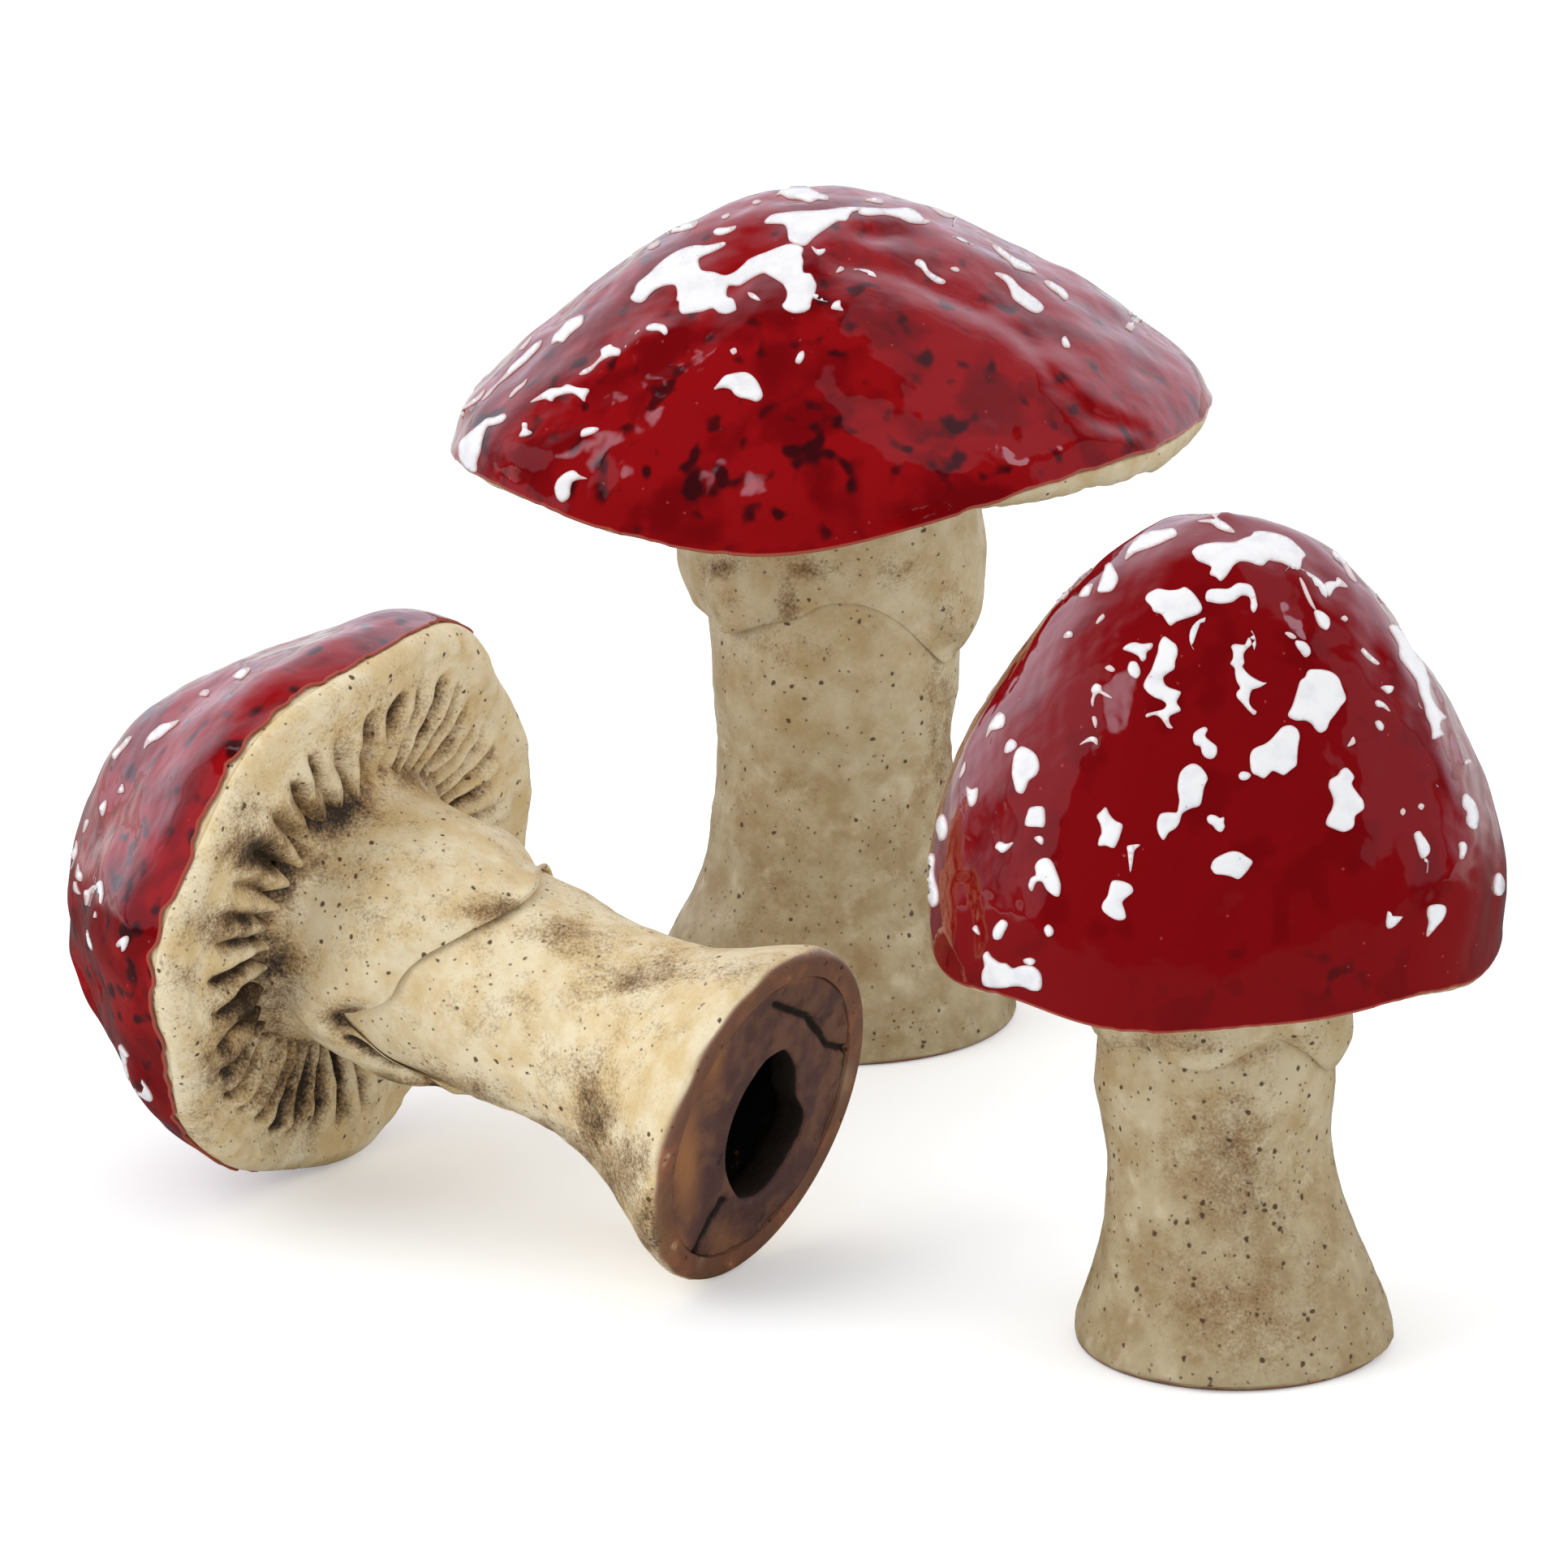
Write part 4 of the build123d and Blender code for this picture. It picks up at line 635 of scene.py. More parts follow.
# How finely the skins are drawn
DOME_SLOPE_STEPS = 14
DOME_TOP_SHARE, SHELL_TOP_SHARE = 0.006, 0.02  # first rings by the top
DOME_TURN_COUNT, DOME_RING_COUNT = 420, 140
SHELL_TURN_COUNT, SHELL_RING_COUNT = 120, 40
GILL_TURN_COUNT, GILL_RING_COUNT = 14, 56
STEM_TURN_COUNT, STEM_RING_COUNT = 260, 130
NECK_RING_COUNT, BEVEL_RING_COUNT, LIP_RING_COUNT = 8, 7, 10
DISC_TURN_COUNT, DISC_RING_COUNT = 220, 40
SKIRT_TURN_COUNT, SKIRT_RING_COUNT = 320, 40
PAD_CURVE_STEPS = 3
PAD_PITCH_PX = 4.5
PAD_PITCH_MM = 0.65
PAD_RIM_MM = 0.3  # how wide the pinkish border of a pad is
GRID_ROW_SHARE = 0.87  # rows of points in a pad, as a share of their pitch
GRID_CLEARANCE_SHARE = 0.45  # between those points and the border
BLOB_POINT_COUNT = 44
BLOB_LOBES = (2, 3, 4, 5)
CREASE_ANGLE = math.radians(50)


# Curves, relief and grids


def wave(lobes, turns):
    """Sum of the (lobes, share, degrees) waves at turns given in radians."""
    return sum(share * np.cos(count * turns - math.radians(phase)) for count, share, phase in lobes)


def smooth(table, places):
    """Points on the smooth curve through a table of rows, places running from 0 to 1."""
    rows = np.asarray(table, float)
    padded = np.vstack([2 * rows[0] - rows[1], rows, 2 * rows[-1] - rows[-2]])
    spans = len(rows) - 1
    span = np.minimum((places * spans).astype(int), spans - 1)
    rest = (places * spans - span)[:, None]
    before, start, end, after = (padded[span + step] for step in range(4))
    slope = 2 * start + (end - before) * rest
    bend = (2 * before - 5 * start + 4 * end - after) * rest**2
    twist = (3 * start - before - 3 * end + after) * rest**3
    return (slope + bend + twist) / 2


def curve(table, at):
    """Values on a smooth curve through (place, value) pairs of any spacing."""
    rows = np.asarray(table, float)
    xs, ys = rows[:, 0], rows[:, 1]
    slopes = np.gradient(ys, xs)
    at = np.clip(at, xs[0], xs[-1])
    span = np.clip(np.searchsorted(xs, at, side="right") - 1, 0, len(xs) - 2)
    width = xs[span + 1] - xs[span]
    t = (at - xs[span]) / width
    hold = (2 * t**3 - 3 * t**2 + 1) * ys[span] + (3 * t**2 - 2 * t**3) * ys[span + 1]
    lead = (t**3 - 2 * t**2 + t) * slopes[span] + (t**3 - t**2) * slopes[span + 1]
    return hold + lead * width


def round_curve(table, turns):
    """Values on a smooth closed curve through (degrees, value) pairs."""
    rows = np.asarray(table, float)
    rows = rows[np.argsort(rows[:, 0])]
    first, last = rows[-2:] - (360, 0), rows[:2] + (360, 0)
    return curve(np.vstack([first, rows, last]), np.degrees(turns) % 360)


def step_up(low, high, values):
    """A soft step from 0 to 1 between two values."""
    share = np.clip((values - low) / (high - low), 0, 1)
    return share**2 * (3 - 2 * share)


def ripples(points, size, seed):
    """Smooth random relief of about one size across, mostly between -1 and 1."""
    rng = np.random.default_rng(seed)
    ways = rng.normal(size=(RIPPLE_COUNT, 3))
    ways /= np.linalg.norm(ways, axis=1, keepdims=True)
    ways *= (2 * math.pi / size * rng.uniform(0.5, 1.5, RIPPLE_COUNT))[:, None]
    phases = rng.uniform(0, 2 * math.pi, RIPPLE_COUNT)
    return np.cos(points @ ways.T + phases).sum(-1) / math.sqrt(RIPPLE_COUNT)


def turned_normals(rings):
    """Unit normals of a grid of rings, each of shape (turns, 3)."""
    along = np.gradient(rings, axis=0)
    around = np.roll(rings, -1, 1) - np.roll(rings, 1, 1)
    normals = np.cross(along, around)
    length = np.linalg.norm(normals, axis=-1, keepdims=True)
    return normals / np.maximum(length, 1e-12)


def even_turns(count):
    """Turns in radians, evenly round a circle."""
    return np.arange(count) * 2 * math.pi / count


def level_ring(middle, radius, z, turns):
    """A level ring about a middle, with a radius and a height for each turn or for all."""
    x = middle[0] + radius * np.cos(turns)
    y = middle[1] + radius * np.sin(turns)
    return np.stack([x, y, np.broadcast_to(z, x.shape)], -1)


# The photograph


class Eye:
    """The camera of the photograph, which turns its pixels into rays and back."""

    def __init__(self, settings):
        pitch = settings.camera_pitch
        self.right = np.array((1.0, 0.0, 0.0))
        self.up = np.array((0.0, math.sin(pitch), math.cos(pitch)))
        self.ahead = np.array((0.0, math.cos(pitch), -math.sin(pitch)))
        self.spot = np.array(settings.camera_target) - settings.camera_distance * self.ahead
        self.focal = PHOTO_SIDE * settings.camera_lens / settings.camera_sensor

    def ray(self, pixel):
        """Unit direction of the ray through a pixel."""
        x = (pixel[0] - PHOTO_MIDDLE) / self.focal
        y = (PHOTO_MIDDLE - pixel[1]) / self.focal
        way = self.ahead + x * self.right + y * self.up
        return way / np.linalg.norm(way)

    def pixels(self, points):
        """Pixels where points of the frame fall."""
        rays = points - self.spot
        depth = rays @ self.ahead
        x = PHOTO_MIDDLE + self.focal * (rays @ self.right) / depth
        y = PHOTO_MIDDLE - self.focal * (rays @ self.up) / depth
        return np.stack([x, y], -1)

    def faced(self, points, normals):
        """Which points have normals that face the camera."""
        return ((self.spot - points) * normals).sum(-1) > 0


def dabs(pixels, marks):
    """Strength of soft oval marks at pixels: (x, y, half width, half height, strength)."""
    total = np.zeros(pixels.shape[:-1])
    for x, y, width, height, strength in marks:
        away = ((pixels[..., 0] - x) / width) ** 2 + ((pixels[..., 1] - y) / height) ** 2
        total = np.maximum(total, strength * np.exp(-away))
    return total


def line_distance(pixels, line):
    """Distance of pixels from a line through several pixels."""
    best = np.full(pixels.shape[:-1], np.inf)
    corners = np.asarray(line, float)
    for start, end in zip(corners, corners[1:]):
        way = end - start
        share = np.clip(((pixels - start) @ way) / (way @ way), 0, 1)
        best = np.minimum(best, np.linalg.norm(pixels - (start + share[..., None] * way), axis=-1))
    return best


# One mushroom


class Mushroom:
    """One mushroom's sizes in metres and the place that the frame gives it."""

    def __init__(self, scene, prefix):
        sizes = getattr(scene, "mushrooms_" + prefix)
        self.prefix = prefix
        self.seed = PREFIXES.index(prefix) * 100
        self.clay = scene.mushrooms_clay
        self.eye = Eye(scene.mushrooms_stage)
        for key in sizes.bl_rna.properties.keys():
            if key not in ("rna_type", "name"):
                setattr(self, key, getattr(sizes, key))
        self.height = self.rim_height + self.cap_depth
        self.shift = np.array(self.cap_shift)
        self.apex = np.array(self.apex_shift)
        self.neck_height = self.rim_height - self.clay.lip_under_drop + self.gill_rise
        self.neck_start = self.neck_height - self.neck_length
        self.flare_height = self.neck_start - self.waist_length
        self.spigot_radius = self.neck_radius - self.clay.spigot_shoulder
        self.find_place()

    def find_place(self):
        """Read the foot's place and tilt off the disc in its foot."""
        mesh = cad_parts[self.prefix + "_foot_ring"].data
        count = len(mesh.polygons)
        areas = np.zeros(count)
        normals = np.zeros(count * 3)
        centres = np.zeros(count * 3)
        mesh.polygons.foreach_get("area", areas)
        mesh.polygons.foreach_get("normal", normals)
        mesh.polygons.foreach_get("center", centres)
        normals = normals.reshape(-1, 3)
        middle = (centres.reshape(-1, 3) * areas[:, None]).sum(0) / areas.sum()
        _, ways = np.linalg.eigh((normals * areas[:, None]).T @ normals)
        up = ways[:, -1]
        low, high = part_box(self.prefix + "_cap_shell")
        if up @ (np.array((low + high) / 2) - middle) < 0:
            up = -up
        side = np.cross(up, (0, 0, 1))
        upright = np.linalg.norm(side) < 0.01
        side = np.array((1.0, 0.0, 0.0)) if upright else side / np.linalg.norm(side)
        self.axes = np.stack([side, np.cross(up, side), up])
        self.origin = middle - up * self.clay.disc_thickness / 2

    def placed(self, points):
        """Points of the upright mushroom, set in its place in the frame."""
        return self.origin + points @ self.axes

    def pixels(self, points):
        """Pixels of the photograph where points of the upright mushroom fall."""
        return self.eye.pixels(self.placed(points))

    def faced(self, points, normals):
        """Which points of the upright mushroom face the camera."""
        return self.eye.faced(self.placed(points), normals @ self.axes)

    def rough(self, points, kind, base=0):
        """A base value and the hand-formed unevenness of one kind at points."""
        parts = (
            strength * ripples(points, size * MM, self.seed + step)
            for strength, size, step in RIPPLES[kind]
        )
        return sum(parts, base)

    def lean(self, z):
        """How far the stem's middle has leant over at a height."""
        rise = np.clip(np.asarray(z, float) / self.neck_start, 0, 1)
        return (rise**2 * (3 - 2 * rise))[..., None] * self.shift

    def dome_slopes(self, places):
        """Outward direction of the dome's profile, turning level towards the rim."""
        shares = DOME_SHARES[self.prefix]
        step = 1 / (len(shares) * DOME_SLOPE_STEPS)
        low = smooth(shares, np.maximum(places - step, 0))
        high = smooth(shares, np.minimum(places + step, 1))
        out = (high[:, 1] - low[:, 1]) * self.cap_depth
        up = (high[:, 0] - low[:, 0]) * self.cap_radius * (1 - places**6)
        length = np.hypot(out, up)
        return out / length, up / length

    def dome(self, places, turns, inset=0.0):
        """Rings of the plain dome from its top to its rim, inset into the clay."""
        profile = smooth(DOME_SHARES[self.prefix], places)
        out, up = self.dome_slopes(places)
        swell = wave(RADIUS_WAVE_SHARES[self.prefix], turns)[None, :] * places[:, None]
        radius = self.cap_radius * profile[:, :1] * (1 + swell) - (inset * out)[:, None]
        sag = wave(HEIGHT_WAVE_SHARES[self.prefix], turns)[None, :] * places[:, None] ** 2
        z = self.height - self.cap_depth * (profile[:, 1:] - sag) - (inset * up)[:, None]
        fade = 1 - np.minimum(profile[:, :1], 1) ** 2
        x = self.shift[0] + self.apex[0] * fade + radius * np.cos(turns)
        y = self.shift[1] + self.apex[1] * fade + radius * np.sin(turns)
        return np.stack([x, y, z], -1)

    def dome_relief(self, places, rings, normals):
        """How far the hand-formed dome stands out from the plain one, ring by ring."""
        relief = self.clay.dome_bumps * self.rough(rings, "dome")
        pixels = self.pixels(rings)
        shown = self.faced(rings, normals)
        for x, y, width, height, depth in DENTS[self.prefix]:
            relief -= MM * shown * dabs(pixels, ((x, y, width, height, depth),))
        for line, width, depth in CREASES[self.prefix]:
            closeness = np.exp(-((line_distance(pixels, line) / width) ** 2))
            relief -= MM * shown * depth * closeness
        return relief * (1 - places**10)[:, None]

    def dome_skin(self, places, turns, inset):
        """Rings of the hand-formed dome, inset into the clay."""
        plain = self.dome(places, turns)
        normals = turned_normals(plain)
        relief = self.dome_relief(places, plain, normals)
        return self.dome(places, turns, inset) + normals * relief[..., None]

    def rim(self, turns, inset, drop):
        """A ring beside the dome's rim, inset towards the stem and dropped below it."""
        ring = self.dome(np.array((1.0,)), turns, inset)[0]
        ring[..., 2] -= drop
        return ring

    def lip_drop(self, turns):
        """How far the clay lip hangs below the glaze line round the rim."""
        return self.clay.lip_under_drop + round_curve(LIP_DROPS_MM[self.prefix], turns) * MM

    def bare_rim(self, turns):
        """How far above the rim the red glaze ends round the dome."""
        ring = self.rim(turns, 0, 0)
        wiggles = RIM_WIGGLES_MM[self.prefix] * self.rough(ring, "glaze_rim")
        bare = round_curve(BARE_RIMS_MM[self.prefix], turns) + wiggles
        return np.maximum(bare, LEAST_BARE_RIM_MM) * MM

    def squeeze(self, turns, z):
        """How far a hand has pressed the stem in at turns and heights."""
        depth = 0
        for degrees, width, height, reach, deep in SQUEEZES[self.prefix]:
            away = (np.degrees(turns) - degrees + 180) % 360 - 180
            far = (away / width) ** 2 + ((z / MM - height) / reach) ** 2
            depth = depth + deep * MM * np.exp(-far)
        return depth * np.ones_like(turns + z)

    def by_height(self, levels, rings):
        """A value that goes from one level at the foot to another at the neck."""
        low, high = levels[self.prefix]
        return low + (high - low) * step_up(0.15, 0.95, rings[..., 2] / self.neck_height)


# Meshes


def add_mesh(title, points, faces, marks, material, crease=None):
    """A smooth mesh object from points, faces and float marks on its points."""
    sizes = np.array([len(face) for face in faces])
    corners = np.concatenate(faces)
    mesh = bpy.data.meshes.new(title)
    mesh.vertices.add(len(points))
    mesh.vertices.foreach_set("co", points.astype(np.float32).ravel())
    mesh.loops.add(len(corners))
    mesh.loops.foreach_set("vertex_index", corners.astype(np.int32))
    mesh.polygons.add(len(sizes))
    starts = np.concatenate([[0], np.cumsum(sizes)[:-1]])
    mesh.polygons.foreach_set("loop_start", starts.astype(np.int32))
    mesh.update(calc_edges=True)
    if mesh.validate():
        raise RuntimeError("the mesh of " + title + " has faults")
    for key, values in marks.items():
        attribute = mesh.attributes.new(key, "FLOAT", "POINT")
        attribute.data.foreach_set("value", np.asarray(values, np.float32).ravel())
    mesh.shade_smooth()
    if crease is not None:
        mesh.set_sharp_from_angle(angle=crease)
    mesh.materials.append(material)
    piece = bpy.data.objects.new(title, mesh)
    bpy.context.collection.objects.link(piece)
    return piece


def turned_faces(ring_count, turn_count, tips=(None, None), closed=False):
    """Faces over a grid of rings, with fans to tip points or joined end to end."""
    index = np.arange(ring_count * turn_count).reshape(ring_count, turn_count)
    beyond = np.roll(index, -1, 1)
    quads = []
    for row in range(ring_count if closed else ring_count - 1):
        after = (row + 1) % ring_count
        quads.append(np.stack([index[row], beyond[row], beyond[after], index[after]], -1))
    faces = list(np.concatenate(quads))
    if tips[0] is not None:
        faces += [np.array((tips[0], b, a)) for a, b in zip(index[0], beyond[0])]
    if tips[1] is not None:
        faces += [np.array((tips[1], a, b)) for a, b in zip(index[-1], beyond[-1])]
    return faces


def outward(points, faces):
    """The same faces, turned round if the closed skin they make is inside out."""
    volume = 0.0
    for size in (3, 4):
        block = np.array([face for face in faces if len(face) == size])
        if len(block):
            for corner in range(1, size - 1):
                a, b, c = (points[block[:, at]] for at in (0, corner, corner + 1))
                volume += (a * np.cross(b, c)).sum()
    return faces if volume > 0 else [face[::-1] for face in faces]


def finish_piece(piece, node):
    """Say what a piece rides on, and hide the node of the frame that it stands for."""
    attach(piece, "root")
    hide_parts(node)


def keep_inside(points):
    """Points held inside the box of the frame."""
    return np.clip(points, np.array(CAD_BOX[0]), np.array(CAD_BOX[1]))


def add_turned(m, title, node, rings, marks, material, ends="closed", crease=None):
    """A closed piece of one mushroom from rings round it, in its place in the frame."""
    rings = np.asarray(rings)
    count, turns = rings.shape[:2]
    points = rings.reshape(-1, 3)
    levels = {"cream": m.by_height(CREAM_LEVEL, rings), "iron": m.by_height(SPECK_LEVEL, rings)}
    marks = {key: np.asarray(values).reshape(-1) for key, values in {**marks, **levels}.items()}
    if ends == "closed":
        faces = turned_faces(count, turns, closed=True)
    else:
        tips = np.stack([rings[0].mean(0), rings[-1].mean(0)])
        points = np.vstack([points, tips])
        marks = {
            key: np.concatenate([values, [values[0], values[-1]]]) for key, values in marks.items()
        }
        faces = turned_faces(count, turns, tips=(count * turns, count * turns + 1))
    points = keep_inside(m.placed(points))
    piece = add_mesh(title, points, outward(points, faces), marks, material, crease)
    finish_piece(piece, node)


# The pieces


def drawn_in(rings, kept):
    """The same rings, drawn in along the profile to a kept share for each turn."""
    count = len(rings)
    at = np.linspace(0, count - 1, count)[:, None] * kept[None, :]
    low = np.clip(at.astype(int), 0, count - 2)
    rest = (at - low)[..., None]
    turn = np.arange(rings.shape[1])[None, :]
    return rings[low, turn] * (1 - rest) + rings[low + 1, turn] * rest


def add_red_glaze(m, material):
    """The thick red glaze on a dome, rounded over at its rim."""
    turns = even_turns(DOME_TURN_COUNT)
    places = np.linspace(DOME_TOP_SHARE, 1, DOME_RING_COUNT)
    skin = m.dome_skin(places, turns, 0)
    steps = np.linalg.norm(np.diff(skin, axis=0), axis=-1)
    reach = np.vstack([np.zeros(len(turns)), np.cumsum(steps, 0)])
    kept = 1 - m.bare_rim(turns) / reach[-1]
    skin = drawn_in(skin, kept)
    normals = turned_normals(skin)[-1]
    down = skin[-1] - skin[-2]
    down /= np.linalg.norm(down, axis=-1, keepdims=True)
    lip = [skin[-1] - normals * inset * MM + down * drop * MM for inset, drop in GLAZE_LIP_MM]
    inner = np.linspace(places[0], 1, DOME_RING_COUNT // 4)
    back = drawn_in(m.dome_skin(inner, turns, m.clay.glaze_thickness), kept)[::-1]
    rings = np.concatenate([skin, lip, back])
    pixels = m.pixels(rings)
    shown = m.faced(rings, turned_normals(rings))
    mottle = np.maximum(dabs(pixels, MOTTLES[m.prefix]) * shown, MOTTLE_LEVEL[m.prefix])
    edge = np.ones(rings.shape[:2])
    left = (reach[-1] - reach) * kept
    edge[:len(places)] = np.exp(-left / m.clay.glaze_edge)
    marks = {"mottle": mottle, "edge": edge, "pool": np.full(edge.shape, POOLED[m.prefix])}
    title = m.prefix + "_glazed_dome"
    add_turned(m, title, m.prefix + "_red_glaze", rings, marks, material, "tips")


def add_cap_shell(m, material):
    """The clay wall of a cap under its glaze."""
    turns = even_turns(SHELL_TURN_COUNT)
    places = np.linspace(SHELL_TOP_SHARE, 1, SHELL_RING_COUNT)
    outside = m.clay.glaze_thickness + m.clay.glaze_bond
    skin = m.dome_skin(places, turns, outside)
    back = m.dome_skin(places, turns, outside + m.clay.cap_wall)[::-1]
    rings = np.concatenate([skin, back])
    marks = {"stain": np.zeros(rings.shape[:2])}
    title = m.prefix + "_cap_wall"
    add_turned(m, title, m.prefix + "_cap_shell", rings, marks, material, "tips")


def gill_rings(m, turns, shares):
    """Rings of the gilled underside and how deep its grooves are, from the rim to the neck."""
    inner = m.neck_radius + m.clay.skirt_gap
    out = m.rim(turns, m.clay.gill_margin, m.lip_drop(turns))
    base = level_ring(m.shift, inner, 0, turns)
    level = m.rim_height - m.clay.lip_under_drop
    share = shares[:, None]
    reach, drop = (size * MM for size in FUNNEL_MM)
    near = np.clip(1 - share * (m.cap_radius - m.clay.gill_margin - inner) / reach, 0, 1)
    hollow = m.gill_rise * (1 - share) ** 2 - drop * (1 - np.sqrt(1 - near**2))
    rings = base[None, :, :2] * (1 - share[..., None]) + out[None, :, :2] * share[..., None]
    z = level + hollow + (out[None, :, 2] - level) * share
    rings = np.concatenate([rings, z[..., None]], -1)
    flat = rings * (1, 1, 0)
    drift = m.rough(flat, "gill_drift")
    crest = np.abs(np.cos((m.gill_count * turns[None, :] + drift) / 2))
    boost = dabs(m.pixels(rings), GILL_BOOSTS[m.prefix])
    ends = m.rough(flat[:1], "gill_ends", GILL_FADE_SHARE) + 0.2 * boost[:1]
    fade = step_up(1.02, np.minimum(ends, 0.95), share) * step_up(0.02, 0.14, share)
    plain = dabs(m.pixels(rings), GILL_PLAINS[m.prefix])
    strength = m.rough(flat, "gill_strength", 0.95) + 0.5 * boost
    depth = (1 - crest**GILL_CREST_POWER) * fade * np.clip(strength, 0.35, 1.4) * (1 - plain)
    bumps = m.rough(flat, "gill_bumps")
    normals = turned_normals(rings)
    normals *= np.sign(normals[-len(shares) // 2, :, 2:].mean())
    push = depth * m.clay.gill_depth + bumps * MM * fade - m.clay.gill_depth * 0.4 * fade
    return rings + normals * push[..., None], depth


def add_gill_plate(m, material):
    """The clay underside of a cap: its lip, gills and the hole for the stem's spigot."""
    turns = even_turns(m.gill_count * GILL_TURN_COUNT)
    bend = np.linspace(0, math.pi / 2, LIP_RING_COUNT)
    gap = m.clay.slip_gap
    wide = m.clay.lip_under_width - m.clay.lip_inset
    hang = m.lip_drop(turns)
    lip = []
    for a in bend:
        inset = m.clay.lip_inset + wide * (1 - math.cos(a))
        lip.append(m.rim(turns, inset, gap + (hang - gap) * math.sin(a)))
    lip = np.stack(lip)
    lip[..., 2] += MM * m.rough(lip, "lip") * np.sin(bend)[:, None]
    band = np.stack([m.rim(turns, inset * MM, hang) for inset in BAND_INSETS_MM])
    band[..., 2] += MM * m.rough(band, "band")
    shares = np.linspace(1, 0, GILL_RING_COUNT) ** 1.5
    gills, depth = gill_rings(m, turns, shares)
    hole = m.spigot_radius + gap
    seat = m.neck_height + gap
    hole_bottom = level_ring(m.shift, hole, seat, turns)
    hole_top = level_ring(m.shift, hole, seat + m.clay.plate_thickness, turns)
    ledge_inset = m.clay.lip_inset + m.clay.glaze_thickness + m.clay.cap_wall
    ledge = m.rim(turns, ledge_inset, gap)
    rings = np.concatenate([[hole_top, ledge], lip, band, gills, [hole_bottom]])
    stain = np.zeros(rings.shape[:2])
    start = 2 + len(lip) + len(band)
    share = shares[:, None]
    wash = m.rough(gills, "gill_wash", 0.75)
    # oxide in the grooves between the gills, and painted shade that deepens towards the neck
    neck_shade = step_up(NECK_SHADE_REACH, 0.0, share)
    oxide_and_shade = wash * (depth * (0.75 + 0.35 * neck_shade) + 0.4 * neck_shade**2)
    stain[start:start + len(gills)] = np.clip(oxide_and_shade, 0, 1)
    pixels = m.pixels(rings)
    shown = m.faced(rings, turned_normals(rings))
    stain = stain + dabs(pixels, GILL_STAINS_AND_SHADE[m.prefix]) * shown + BASE_STAIN[m.prefix]
    marks = {"stain": np.clip(stain, 0, 1)}
    title = m.prefix + "_gills"
    add_turned(m, title, m.prefix + "_gill_plate", rings, marks, material)


def stem_profile(m):
    """Heights and radii down the outside of a stem, from its neck to its bevelled foot."""
    spread = m.foot_radius - m.waist_radius
    table = [(0, m.foot_radius)]
    for height_share, spread_share in FLARE_SHARES[m.prefix]:
        table.append((m.flare_height * height_share, m.waist_radius + spread * spread_share))
    table.append((m.neck_start, m.neck_radius))
    return table


def add_stem(m, material):
    """The hollow stem with its flared foot, its neck and the spigot in the gill plate."""
    turns = even_turns(STEM_TURN_COUNT)
    bevel = m.clay.foot_bevel
    heights = np.concatenate([
        np.linspace(bevel, m.neck_start, STEM_RING_COUNT),
        np.linspace(m.neck_start, m.neck_height, NECK_RING_COUNT)[1:],
    ])
    radii = curve(stem_profile(m), np.minimum(heights, m.neck_start))
    middles = m.lean(heights)
    outside = np.stack([
        level_ring(middle, radius, z, turns) for middle, radius, z in zip(middles, radii, heights)
    ])
    bumps = m.rough(outside, "stem")
    loose = step_up(m.neck_height, m.neck_start - 2 * MM, heights)[:, None]
    away = outside - np.concatenate([middles, heights[:, None]], -1)[:, None, :]
    away /= np.linalg.norm(away, axis=-1, keepdims=True)
    press = m.squeeze(turns[None, :], heights[:, None])
    outside = outside + away * (bumps * MM * loose - press)[..., None]
    low = []
    for a in np.linspace(0.0, math.pi / 2, BEVEL_RING_COUNT)[:-1]:
        radius = m.foot_radius - bevel * (1 - math.sin(a))
        low.append(level_ring((0, 0), radius, bevel * (1 - math.cos(a)), turns))
    seat = m.disc_radius + m.clay.slip_gap
    top = m.neck_height + m.clay.plate_thickness + m.clay.spigot_stand
    bore = m.spigot_radius - m.clay.spigot_wall
    disc = m.clay.disc_thickness + m.clay.slip_gap
    hollow = m.waist_radius - m.clay.stem_wall
    inside = [
        level_ring(m.shift, m.spigot_radius, m.neck_height, turns),
        level_ring(m.shift, m.spigot_radius, top, turns),
        level_ring(m.shift, bore, top, turns),
        level_ring(m.shift, bore, m.neck_start, turns),
        level_ring(m.shift, hollow, m.neck_start, turns),
        level_ring(m.lean(m.flare_height), hollow, m.flare_height, turns),
        level_ring((0, 0), m.stake_radius + m.clay.bore_ledge, disc, turns),
        level_ring((0, 0), seat, disc, turns),
        level_ring((0, 0), seat, DISC_SINK_MM * MM, turns),
    ]
    rings = np.concatenate([low, outside, inside])
    sway = np.maximum(m.rough(rings, "worn_edge", 1), 0.3)
    edge = WORN_HEIGHT_MM[m.prefix] * MM * sway
    worn = step_up(edge, edge * 0.3, rings[..., 2])
    shown = m.faced(rings, -turned_normals(rings))
    cloud = STAIN_SWAY[m.prefix] * m.rough(rings, "stem_cloud")
    stain = dabs(m.pixels(rings), STEM_STAINS_AND_SHADE[m.prefix]) * shown + BASE_STAIN[m.prefix] + cloud
    stain = np.clip(stain, 0, 1)
    # painted shade: the inside of the hollow is marked to be drawn near black
    stain[len(low) + len(outside):-2] = HOLLOW_PAINTED_SHADE
    marks = {"stain": stain, "worn": np.clip(worn, 0, 1)}
    title, node = m.prefix + "_hollow_stem", m.prefix + "_stem"
    add_turned(m, title, node, rings, marks, material, crease=CREASE_ANGLE)


